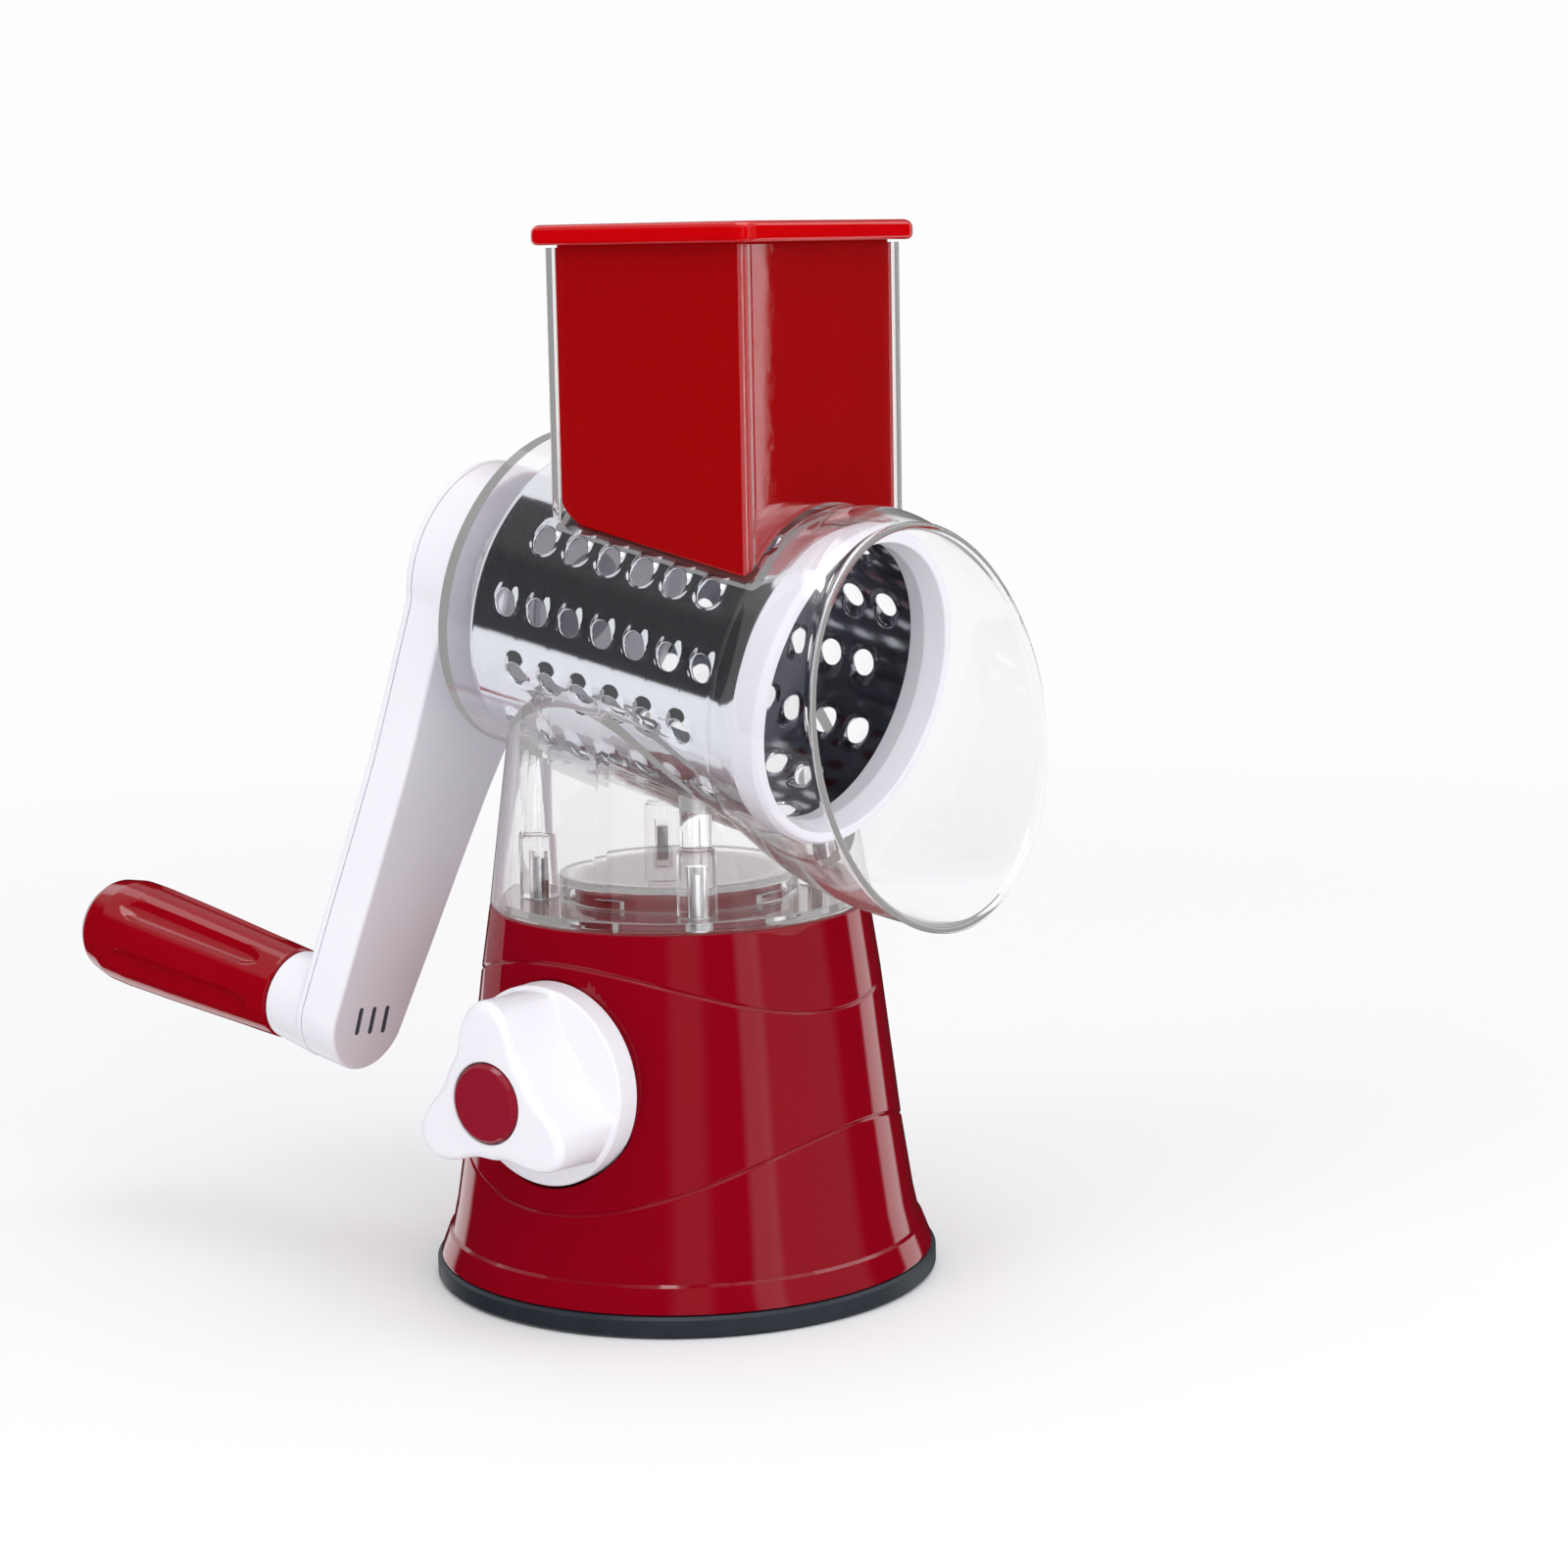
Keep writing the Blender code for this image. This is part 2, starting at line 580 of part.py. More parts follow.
clear_scene()
PIECES = new_collection("drum_slicer")
TOOLS = new_collection("boolean_tools", hidden=True)
make_suction_pad()
make_pad_plate()
make_plate_screws()
make_base_shell()
make_cam_frame()
make_lift_stem()
make_return_spring()
make_cam_shaft()
make_suction_knob()
make_knob_screw()
make_knob_cap()
make_clear_body()
make_neck_plate()
make_neck_screws()
make_pusher()
make_hub_bush()
make_drum_sleeve()
make_drum_front_ring()
make_drum_rear_disc()
make_drum_hub()
make_crank_arm()
make_arm_cover()
make_grip_spindle()
make_spindle_screw()
make_grip()
make_grip_plug()
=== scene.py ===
import math

import bpy
from mathutils import Matrix, Vector


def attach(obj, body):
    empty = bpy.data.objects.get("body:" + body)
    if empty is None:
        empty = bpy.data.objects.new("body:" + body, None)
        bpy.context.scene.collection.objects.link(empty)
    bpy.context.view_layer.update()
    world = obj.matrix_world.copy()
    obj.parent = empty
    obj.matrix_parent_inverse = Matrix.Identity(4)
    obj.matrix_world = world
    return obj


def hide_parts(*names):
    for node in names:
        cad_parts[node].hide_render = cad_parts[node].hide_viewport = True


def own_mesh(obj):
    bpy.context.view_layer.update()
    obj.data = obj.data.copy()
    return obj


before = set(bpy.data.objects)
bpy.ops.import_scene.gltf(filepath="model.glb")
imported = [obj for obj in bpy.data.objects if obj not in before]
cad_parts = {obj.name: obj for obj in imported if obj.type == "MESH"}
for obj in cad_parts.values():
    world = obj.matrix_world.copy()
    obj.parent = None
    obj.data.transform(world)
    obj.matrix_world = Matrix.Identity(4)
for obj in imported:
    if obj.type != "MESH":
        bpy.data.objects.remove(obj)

MM = 0.001
SMOOTH_ANGLE = 32.0

# Dimensions shared with the frame.
PAD_RADIUS = 65.0
PILLAR_RADIUS = 38.0
KNOB_HEIGHT = 59.3
AXIS_HEIGHT = 167.0
AXIS_SLOPE = 12.0
DRUM_RADIUS = 39.0
DRUM_REAR = -33.5
DRUM_FRONT = 50.7
DRUM_SEAT = DRUM_RADIUS - 1.15
HOLE_ROWS = 14
HOLE_RADIUS = 3.3
HOLE_PITCH = 10.4
HOLE_CENTRE = 7.8
HUB_RADIUS = 14.8
HUB_END = -64.0
WALL = 1.9
POST_RADIUS = 36.0
CHUTE_CENTRE = 18.4
CHUTE_HALF_X = 31.1
CHUTE_HALF_Y = 33.2
CHUTE_TOP = 263.0
PUSHER_GAP = 2.4
PUSHER_WALL = 2.0
FLANGE_LOW = 263.6
ARM_LENGTH = 124.3
ARM_LEAN = -16.8
ARM_FRONT = -53.2
ARM_REAR = -67.0
GRIP_LEAN = 2.0

# The pusher's underside: its clearance over the drum, and the round at its lower rear corner with
# the round's centre above the drum's axis and along it.
PUSHER_CLEARANCE = 2.0
PUSHER_ROUND = 11.0
ROUND_UP = 38.1
ROUND_ALONG = -7.6

# Rings of the clear barrel and mouth: place on the drum axis, radius, rise, backward tilt.
BARREL_RINGS = [
    (-42.0, 42.3, 0.0, 0.0),
    (44.0, 42.9, 0.0, 0.0),
    (50.0, 44.6, -0.9, 2.0),
    (58.0, 47.1, -2.0, 7.0),
    (68.0, 48.9, -2.8, 13.5),
    (79.4, 49.4, -3.1, 20.2),
    (81.6, 50.0, -3.1, 20.7),
]

# The camera: place in millimetres, heading, downward tilt, roll and focal length.
CAMERA_PLACE = (533.9, -679.5, 263.5)
CAMERA_HEADING = 36.34
CAMERA_TILT = 9.03
CAMERA_ROLL = -1.0
CAMERA_LENS = 78.35


def moved(x, y, z):
    return Matrix.Translation((x * MM, y * MM, z * MM))


def turned_about(axis, degrees):
    return Matrix.Rotation(math.radians(degrees), 4, axis)


# Frames. On the drum's axis, local +Z points to the mouth and local +X down.
WORLD = Matrix.Identity(4)
DRUM = moved(0, 0, AXIS_HEIGHT) @ turned_about("Y", 90 + AXIS_SLOPE)
CRANK = DRUM @ turned_about("Z", ARM_LEAN)
GRIP = CRANK @ moved(ARM_LENGTH, 0, (ARM_FRONT + ARM_REAR) / 2) @ turned_about("Y", 180 - GRIP_LEAN)
KNOB = moved(0, 0, KNOB_HEIGHT) @ turned_about("X", 90)


# ---------------------------------------------------------------- meshes

def new_object(name, points, faces, place=WORLD):
    """A mesh from points in millimetres, put in place in metres, smooth but for its sharp edges."""
    mesh = bpy.data.meshes.new(name)
    mesh.from_pydata([(x * MM, y * MM, z * MM) for x, y, z in points], [], faces)
    mesh.transform(place)
    obj = bpy.data.objects.new(name, mesh)
    bpy.context.scene.collection.objects.link(obj)
    shade(obj)
    return obj


def shade(obj, angle=SMOOTH_ANGLE):
    mesh = obj.data
    mesh.polygons.foreach_set("use_smooth", [True] * len(mesh.polygons))
    mesh.set_sharp_from_angle(angle=math.radians(angle))
    mesh.update()


def lofted(name, rings, place=WORLD, closed=False):
    """Rings of points joined by quads. The ends are capped, or joined to each other when closed."""
    count = len(rings[0])
    points = [point for ring in rings for point in ring]
    faces = []
    last = len(rings) if closed else len(rings) - 1
    for low in range(last):
        high = (low + 1) % len(rings)
        for side in range(count):
            after = (side + 1) % count
            faces.append((low * count + side, low * count + after, high * count + after, high * count + side))
    if not closed:
        faces.append(tuple(reversed(range(count))))
        faces.append(tuple(range((len(rings) - 1) * count, len(rings) * count)))
    return new_object(name, points, faces, place)


def rounded(points, closed=False, steps=5):
    """A path of (x, y, fillet radius), its fillets as short segments. (x, y) is a sharp corner."""
    path = []
    count = len(points)
    for index, point in enumerate(points):
        here = Vector(point[:2])
        radius = point[2] if len(point) > 2 else 0.0
        if radius == 0 or (not closed and index in (0, count - 1)):
            path.append(tuple(here))
            continue
        before = (Vector(points[index - 1][:2]) - here).normalized()
        after = (Vector(points[(index + 1) % count][:2]) - here).normalized()
        half = before.angle(after) / 2
        reach = radius / math.tan(half)
        centre = here + (before + after).normalized() * radius / math.sin(half)
        start = here + before * reach - centre
        end = here + after * reach - centre
        sweep = start.angle_signed(end)
        for step in range(steps + 1):
            turn = Matrix.Rotation(-sweep * step / steps, 2)
            path.append(tuple(centre + turn @ start))
    return path


def turned(name, profile, place=WORLD, sides=160, steps=5):
    """A solid of revolution about local Z. Its profile of (radius, z, fillet) runs down the outside."""
    on_axis = profile[0][0] == 0
    path = rounded(profile, closed=not on_axis, steps=steps)
    points, faces, rings = [], [], []
    for radius, z in path:
        if radius == 0:
            rings.append([len(points)] * sides)
            points.append((0, 0, z))
            continue
        rings.append(list(range(len(points), len(points) + sides)))
        for side in range(sides):
            angle = 2 * math.pi * side / sides
            points.append((radius * math.cos(angle), radius * math.sin(angle), z))
    last = len(rings) - 1 if on_axis else len(rings)
    for upper in range(last):
        high, low = rings[upper], rings[(upper + 1) % len(rings)]
        for side in range(sides):
            after = (side + 1) % sides
            corners = [high[side], low[side], low[after], high[after]]
            faces.append(tuple(dict.fromkeys(corners)))
    return new_object(name, points, faces, place)


def cylinder(name, radius, z_low, z_high, place=WORLD, sides=64):
    return turned(name, [(0, z_high), (radius, z_high), (radius, z_low), (0, z_low)], place, sides)


def prism(name, outline, z_low, z_high, place=WORLD):
    return lofted(name, [[(x, y, z) for x, y in outline] for z in (z_low, z_high)], place)


def block(name, x_range, y_range, z_range, place=WORLD):
    (x0, x1), (y0, y1) = x_range, y_range
    return prism(name, [(x0, y0), (x1, y0), (x1, y1), (x0, y1)], z_range[0], z_range[1], place)


def rounded_rectangle(half_x, half_y, radius, centre_x=0.0, steps=8):
    points = []
    for quarter, (sx, sy) in enumerate([(1, 1), (-1, 1), (-1, -1), (1, -1)]):
        for step in range(steps + 1):
            angle = math.radians(90 * quarter + 90 * step / steps)
            x = centre_x + sx * (half_x - radius) + radius * math.cos(angle)
            y = sy * (half_y - radius) + radius * math.sin(angle)
            points.append((x, y))
    return points


def rounded_prism(name, outline_at, z_low, z_high, edge_low, edge_high, place=WORLD, steps=4):
    """A prism whose two rims are rounded. outline_at(inset) gives its outline."""
    rings = []
    for step in range(steps + 1):
        angle = math.radians(90 * step / steps)
        inset = edge_low * (1 - math.sin(angle))
        z = z_low + edge_low * (1 - math.cos(angle))
        rings.append([(x, y, z) for x, y in outline_at(inset)])
    for step in range(steps + 1):
        angle = math.radians(90 * step / steps)
        inset = edge_high * (1 - math.cos(angle))
        z = z_high - edge_high * (1 - math.sin(angle))
        rings.append([(x, y, z) for x, y in outline_at(inset)])
    return lofted(name, rings, place)


def combine(obj, tools, operation):
    """Joins the tools to obj, or cuts them from it, and removes them."""
    for tool in tools:
        boolean = obj.modifiers.new("Boolean", "BOOLEAN")
        boolean.operation = operation
        boolean.solver = "EXACT"
        boolean.object = tool
        evaluated = obj.evaluated_get(bpy.context.evaluated_depsgraph_get())
        mesh = bpy.data.meshes.new_from_object(evaluated)
        obj.modifiers.clear()
        obj.data = mesh
        bpy.data.objects.remove(tool)
    shade(obj)
    return obj


def cut(obj, *tools):
    return combine(obj, tools, "DIFFERENCE")


def join(obj, *tools):
    return combine(obj, tools, "UNION")


def diagonal_places(radius):
    offset = radius / math.sqrt(2)
    return [(offset, offset), (-offset, offset), (-offset, -offset), (offset, -offset)]


# ---------------------------------------------------------------- materials

class Nodes:
    """Short cuts for building a node tree."""

    def __init__(self, tree):
        self.tree = tree

    def node(self, kind, **settings):
        made = self.tree.nodes.new(kind)
        for key, value in settings.items():
            setattr(made, key, value)
        return made

    def plug(self, value, socket):
        """Links an output to the socket, or sets the socket to a plain value."""
        if isinstance(value, bpy.types.NodeSocket):
            self.tree.links.new(value, socket)
        else:
            socket.default_value = value

    def math(self, operation, first, second=0.0):
        made = self.node("ShaderNodeMath", operation=operation)
        self.plug(first, made.inputs[0])
        self.plug(second, made.inputs[1])
        return made.outputs[0]

    def glow(self, colour, strength=1.0):
        made = self.node("ShaderNodeEmission")
        self.plug(colour, made.inputs["Color"])
        self.plug(strength, made.inputs["Strength"])
        return made.outputs[0]

    def choose(self, condition, when_false, when_true):
        made = self.node("ShaderNodeMixShader")
        for value, socket in zip((condition, when_false, when_true), made.inputs):
            self.plug(value, socket)
        return made.outputs[0]


class Look(Nodes):
    """A node material built up step by step around one Principled shader."""

    def __init__(self, name):
        self.material = bpy.data.materials.new(name)
        self.material.use_nodes = True
        super().__init__(self.material.node_tree)
        self.shader = self.tree.nodes["Principled BSDF"]
        self.surface = self.tree.nodes["Material Output"].inputs["Surface"]
        self.place = self.node("ShaderNodeTexCoord").outputs["Object"]

    def noise(self, scale, detail=3.0, stretch=(1, 1, 1)):
        mapping = self.node("ShaderNodeMapping")
        mapping.inputs["Scale"].default_value = stretch
        self.plug(self.place, mapping.inputs["Vector"])
        noise = self.node("ShaderNodeTexNoise")
        noise.inputs["Scale"].default_value = scale
        noise.inputs["Detail"].default_value = detail
        self.plug(mapping.outputs["Vector"], noise.inputs["Vector"])
        return noise.outputs["Fac"]

    def spread(self, value, low, high):
        """value from 0 to 1 spread between two colours or two numbers."""
        coloured = isinstance(low, tuple)
        mix = self.node("ShaderNodeMix", data_type="RGBA" if coloured else "FLOAT")
        first = 6 if coloured else 2
        self.plug(value, mix.inputs[0])
        for socket, end in zip(mix.inputs[first:first + 2], (low, high)):
            socket.default_value = (*end, 1.0) if coloured else end
        return mix.outputs[2 if coloured else 0]

    def colour(self, low, high, scale, stretch=(1, 1, 1)):
        mixed = self.spread(self.noise(scale, stretch=stretch), low, high)
        self.plug(mixed, self.shader.inputs["Base Color"])

    def roughness(self, low, high, scale, stretch=(1, 1, 1)):
        mixed = self.spread(self.noise(scale, stretch=stretch), low, high)
        self.plug(mixed, self.shader.inputs["Roughness"])

    def bump(self, distance_mm, scale, stretch=(1, 1, 1)):
        bump = self.node("ShaderNodeBump")
        bump.inputs["Strength"].default_value = 1.0
        bump.inputs["Distance"].default_value = distance_mm * MM
        self.plug(self.noise(scale, detail=2.0, stretch=stretch), bump.inputs["Height"])
        self.plug(bump.outputs["Normal"], self.shader.inputs["Normal"])

    def set(self, **values):
        for key, value in values.items():
            self.shader.inputs[key.replace("_", " ")].default_value = value


def gloss_red(name, low, high, blur=0.05):
    """Polished injection-moulded red: a faint mottle in colour and a soft orange peel."""
    look = Look(name)
    look.colour(low, high, 35)
    look.roughness(0.6 * blur, 1.4 * blur, 90)
    look.bump(0.004, 260)
    look.set(IOR=1.5)
    return look.material


def satin_white(name, low=(0.80, 0.785, 0.84), high=(0.87, 0.86, 0.90)):
    look = Look(name)
    look.colour(low, high, 28)
    look.roughness(0.30, 0.42, 120)
    look.bump(0.006, 420)
    look.set(Subsurface_Weight=0.08, Subsurface_Scale=0.002)
    return look.material


def mirror_steel(name):
    """Bright rolled sheet: long faint lines round the drum in its roughness, and a blue tint in its colour
    that is a painted reflection of a bluish studio.
    """
    look = Look(name)
    look.colour((0.78, 0.80, 0.86), (0.87, 0.89, 0.94), 60, stretch=(6, 1, 1))
    look.roughness(0.05, 0.12, 300, stretch=(8, 0.6, 0.6))
    look.bump(0.0008, 500, stretch=(10, 0.5, 0.5))
    look.set(Metallic=1.0)
    return look.material


def shaded_inner_steel(name):
    """The sheet's inner side, painted darker than its outside: painted shade for the inside of the drum."""
    look = Look(name)
    look.colour((0.34, 0.35, 0.39), (0.44, 0.45, 0.49), 60)
    look.roughness(0.06, 0.14, 300)
    look.bump(0.002, 300)
    look.set(Metallic=1.0)
    return look.material


def plain_steel(name):
    look = Look(name)
    look.colour((0.50, 0.50, 0.52), (0.62, 0.62, 0.64), 200)
    look.roughness(0.22, 0.38, 400)
    look.bump(0.004, 900)
    look.set(Metallic=1.0)
    return look.material


def slate_rubber(name):
    look = Look(name)
    look.colour((0.012, 0.018, 0.026), (0.026, 0.034, 0.045), 150)
    look.roughness(0.42, 0.6, 200)
    look.bump(0.02, 900)
    return look.material


# Bounces after which a ray inside the clear plastic ends on a plain grey glow: painted light in place of what
# the lost ray would bring.
MOST_GLOSSY = 2.5
MOST_BOUNCES = 8.5
LOST_LIGHT = (0.34, 0.33, 0.325, 1.0)
STRAIGHT_THROUGH = (0.95, 0.95, 0.96, 1.0)


def clear_plastic(name):
    """Clear moulded plastic. Shadow rays and soft light pass straight through it."""
    look = Look(name)
    look.colour((0.985, 0.983, 0.985), (0.998, 0.996, 0.998), 12)
    look.roughness(0.0, 0.02, 40)
    look.set(Transmission_Weight=1.0, IOR=1.46)
    path = look.node("ShaderNodeLightPath").outputs
    straight = look.node("ShaderNodeBsdfTransparent")
    look.plug(STRAIGHT_THROUGH, straight.inputs["Color"])
    soft_light = look.math("MINIMUM", look.math("ADD", path["Is Shadow Ray"], path["Diffuse Depth"]), 1.0)
    seen = look.choose(soft_light, look.shader.outputs[0], straight.outputs[0])
    many_mirrors = look.math("GREATER_THAN", path["Glossy Depth"], MOST_GLOSSY)
    many_bounces = look.math("GREATER_THAN", path["Ray Depth"], MOST_BOUNCES)
    lost = look.math("MAXIMUM", many_mirrors, many_bounces)
    look.plug(look.choose(lost, seen, look.glow(LOST_LIGHT)), look.surface)
    return look.material


BASE_RED = gloss_red("base_red_gloss", (0.22, 0.0004, 0.0068), (0.25, 0.0007, 0.0085))
PUSHER_RED = gloss_red("pusher_red_gloss", (0.355, 0.0003, 0.001), (0.395, 0.0006, 0.002), blur=0.012)
# Painted light: the pusher's red made lighter for its flange.
FLANGE_LIT_RED = gloss_red("flange_red_painted_light", (0.50, 0.0004, 0.002), (0.56, 0.0008, 0.003), blur=0.012)
GRIP_RED = gloss_red("grip_red_gloss", (0.26, 0.0004, 0.005), (0.30, 0.0008, 0.007))
CAP_RED = gloss_red("cap_red_gloss", (0.24, 0.008, 0.022), (0.28, 0.011, 0.027))
WHITE = satin_white("satin_white")
STEEL = mirror_steel("mirror_steel_sheet")
SHADED_INNER_STEEL = shaded_inner_steel("steel_inside_painted_shade")
# Painted shade: a dark grey for the walls of the arm's slots, where shade falls.
SLOT_SHADE = satin_white("painted_slot_shade", (0.10, 0.10, 0.12), (0.14, 0.14, 0.16))
SCREW_STEEL = plain_steel("plain_steel_parts")
RUBBER = slate_rubber("slate_rubber")
CLEAR = clear_plastic("clear_plastic_moulding")


def finish_piece(obj, material, body, slot, *nodes):
    """Gives the piece its material and body, and hides the CAD nodes it stands for. The slot is not used."""
    obj.data.materials.clear()
    obj.data.materials.append(material)
    flat_first = obj.modifiers.new("Flat faces stay flat", "WEIGHTED_NORMAL")
    flat_first.keep_sharp = True
    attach(obj, body)
    if nodes:
        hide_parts(*nodes)


def repaint(node, material):
    """A CAD node that stays on show, with a finer material."""
    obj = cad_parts[node]
    for material_slot in obj.material_slots:
        material_slot.link = "OBJECT"
        material_slot.material = material


# ---------------------------------------------------------------- suction base

def make_pad():
    profile = [(0, 8), (9, 8, 0.4), (9, 5.5), (64.0, 5.5, 0.5), (PAD_RADIUS, 4.8, 0.4),
               (PAD_RADIUS, 0.9, 0.5), (64.0, 0, 0.4), (0, 0)]
    pad = turned("pad", profile, sides=192)
    finish_piece(pad, RUBBER, "base", "black_rubber", "suction_pad")


def base_radius(z):
    """Radius of the red shell's outer face at a height."""
    stations = [(5.9, 63.9), (6.5, 63.9), (12.0, 61.8), (12.6, 60.9), (26.0, 58.0), (79.0, 51.5),
                (96.4, 48.85)]
    for (z0, r0), (z1, r1) in zip(stations, stations[1:]):
        if z <= z1:
            return r0 + (r1 - r0) * (z - z0) / (z1 - z0)
    return stations[-1][1]


def base_rings(sides=240):
    """Rings of the shell from its foot to its top, with the two wavy grooves sunk in it."""
    groove = [(-0.75, 0.0), (-0.5, 0.06), (-0.22, 0.3), (0.0, 0.42), (0.22, 0.3), (0.5, 0.06), (0.75, 0.0)]
    rim_and_collar = [(48.7, 96.75), (48.4, 96.95), (48.0, 97.0)]
    rim_and_collar += rounded([(30, 97), (26.5, 97, 0.5), (26.5, 103.2, 0.4), (24.1, 103.2, 0.4),
                               (24.1, 97), (2, 97)])
    columns = []
    for side in range(sides):
        angle = 2 * math.pi * side / sides
        wave = math.cos(2 * angle)
        low, high = 36.5 + 9 * wave, 81.5 - 7 * wave
        column = [(base_radius(z), z) for z in (5.9, 6.5, 8.3, 10.2, 11.6, 12.0, 12.6, 14, 20)]
        column += [(base_radius(low + dz) - depth, low + dz) for dz, depth in groove]
        column += [(base_radius(z), z) for z in (low + (high - low) * share for share in (0.25, 0.5, 0.75))]
        column += [(base_radius(high + dz) - depth, high + dz) for dz, depth in groove]
        column += [(base_radius(z), z) for z in (93, 96.2)]
        column += rim_and_collar
        columns.append([(r * math.cos(angle), r * math.sin(angle), z) for r, z in column])
    return [list(ring) for ring in zip(*columns)]


def base_hollow():
    """The shell's inside, less the wall round the knob's pocket and the four screw pillars."""
    inside = [(0, 94.4), (46.6, 94.4), (49.0, 79), (55.4, 26), (58.4, 12.5), (61.4, 5), (0, 5)]
    hollow = turned("base_hollow", inside, sides=96)
    cut(hollow, cylinder("knob_boss", 28.0, 47.5, 75, KNOB))
    for x, y in diagonal_places(PILLAR_RADIUS):
        cut(hollow, cylinder("pillar", 4.2, 9.1, 99, moved(x, y, 0), sides=24))
    return hollow


def lug_outline(inset):
    """One of the collar's four lugs, which hold the housing's tabs down."""
    root, tip, half_width = 25.5, 28.2 - inset, 4 - inset
    return [(root, -half_width), (tip, -half_width), (tip, half_width), (root, half_width)]


def make_base():
    base = lofted("base", base_rings())
    cut(base, base_hollow())
    pocket = [(0, 82), (25.9, 82), (25.9, 50, 0.8), (0, 50)]
    cut(base, turned("pocket", pocket, KNOB, sides=128))
    cut(base, cylinder("shaft_hole", 4.6, 40, 55, KNOB, sides=32))
    for x, y in diagonal_places(PILLAR_RADIUS):
        cut(base, cylinder("pillar_bore", 1.7, 5, 24, moved(x, y, 0), sides=16))
    for number in range(4):
        place = turned_about("Z", 90 * number)
        join(base, rounded_prism("lug", lug_outline, 101.5, 103.0, 0.3, 0.3, place))
    finish_piece(base, BASE_RED, "base", "red_plastic", "base_shell")


# ---------------------------------------------------------------- knob

def lobe_radius(degrees):
    waist, swell, first_lobe = 14.2, 11.0, 92
    return waist + swell * (0.5 + 0.5 * math.cos(math.radians(3 * (degrees - first_lobe)))) ** 2


def make_knob():
    """The three-lobed handle on its disc, as one set of rings whose inner ones follow the lobes."""
    columns = []
    sides = 216
    for side in range(sides):
        degrees = 360 * side / sides
        lobe = lobe_radius(degrees)
        foot = min(lobe + 1.6, 24.2)
        path = rounded([(1.0, 75.1), (10.2, 75.1), (10.2, 77.6, 0.4), (lobe, 77.6, 2.6), (foot, 58.6, 0.8),
                        (25.2, 57.2, 0.9), (25.2, 50.4, 0.4), (1.0, 50.4)], steps=6)
        angle = math.radians(degrees)
        columns.append([(r * math.cos(angle), r * math.sin(angle), z) for r, z in reversed(path)])
    knob = lofted("knob", [list(ring) for ring in zip(*columns)], KNOB)
    cut(knob, cylinder("knob_bore", 4.35, 40, 70.3, KNOB, sides=32))
    cut(knob, cylinder("knob_screw_hole", 1.8, 60, 74, KNOB, sides=24))
    cut(knob, cylinder("knob_screw_recess", 4.2, 72.5, 76, KNOB, sides=48))
    finish_piece(knob, WHITE, "knob", "white_plastic", "suction_knob")


def make_knob_cap():
    profile = [(0, 78.75), (8.9, 78.6, 0.8), (9.85, 77.4, 0.6), (9.85, 75.4), (0, 75.4)]
    cap = turned("knob_badge", profile, KNOB, sides=96)
    finish_piece(cap, CAP_RED, "knob", "red_plastic", "knob_cap")


# ---------------------------------------------------------------- clear body

def smooth_rings(rings, steps=4):
    """The rings with more between them, on a smooth curve through each value."""
    found = []
    for index in range(1, len(rings) - 1):
        before = rings[max(index - 1, 1)]
        after_next = rings[min(index + 2, len(rings) - 1)]
        start, end = rings[index], rings[index + 1]
        for step in range(steps):
            t = step / steps
            values = []
            for p0, p1, p2, p3 in zip(before, start, end, after_next):
                values.append(0.5 * (2 * p1 + (p2 - p0) * t + (2 * p0 - 5 * p1 + 4 * p2 - p3) * t * t
                                     + (3 * p1 - p0 - 3 * p2 + p3) * t ** 3))
            found.append(tuple(values))
    return [rings[0]] + found + [rings[-1]]


def barrel_ring(place, radius, rise, tilt, sides=144):
    matrix = Matrix.Translation((-rise, 0, place)) @ Matrix.Rotation(math.radians(-tilt), 4, "Y")
    ring = []
    for side in range(sides):
        angle = 2 * math.pi * side / sides
        ring.append(tuple(matrix @ Vector((radius * math.cos(angle), radius * math.sin(angle), 0))))
    return ring


def barrel(name, first_place, shrink):
    """The barrel and mouth as a solid with a rounded rim, or the hollow inside it when shrunk."""
    rings = smooth_rings(BARREL_RINGS)
    place, radius, rise, tilt = rings[-1]
    made = [barrel_ring(first_place, rings[0][1] - shrink, 0, 0)]
    made += [barrel_ring(p, r - shrink, h, t) for p, r, h, t in rings[1:]]
    bead = [(0.45, 0.12), (0.85, 0.45), (1.0, 0.95)]
    if shrink:
        made += [barrel_ring(place + ahead, radius - shrink + back, rise, tilt) for ahead, back in bead]
        made.append(barrel_ring(place + 9, radius + 4, rise, tilt))
    else:
        made += [barrel_ring(place + ahead, radius - back, rise, tilt) for ahead, back in bead]
    return lofted(name, made, DRUM)


def make_clear_body():
    skirt = [(41.0, 156), (48.6, 97.9, 0.3), (48.2, 97.4), (46.4, 97.4), (38.9, 156)]
    body = turned("clear_housing", skirt, sides=160)
    foot = [(0, 116.2), (4.6, 116.2, 0.5), (5.0, 114.5), (5.0, 99.7), (0, 99.7)]
    for x, y in diagonal_places(POST_RADIUS):
        place = moved(x, y, 0)
        join(body, cylinder("post", 4.0, 110, 140, place, sides=32))
        join(body, turned("post_foot", foot, place, sides=32))
    join(body, barrel("barrel", BARREL_RINGS[0][0], 0))
    chute = rounded_rectangle(CHUTE_HALF_X, CHUTE_HALF_Y, 3.0, CHUTE_CENTRE)
    join(body, prism("chute", chute, 175, CHUTE_TOP))
    cut(body, barrel("barrel_hollow", -39.9, WALL))
    hollow = rounded_rectangle(CHUTE_HALF_X - 2, CHUTE_HALF_Y - 2, 1.6, CHUTE_CENTRE)
    cut(body, prism("chute_hollow", hollow, 172, CHUTE_TOP + 10))
    join(body, cylinder("bearing_collar", 20.2, -51.2, -41, DRUM, sides=96))
    cut(body, cylinder("bearing_bore", 17.6, -60, -30, DRUM, sides=96))
    for x, y in diagonal_places(POST_RADIUS):
        cut(body, cylinder("post_bore", 1.8, 95, 112, moved(x, y, 0), sides=24))
    finish_piece(body, CLEAR, "housing", "clear_plastic", "clear_body")


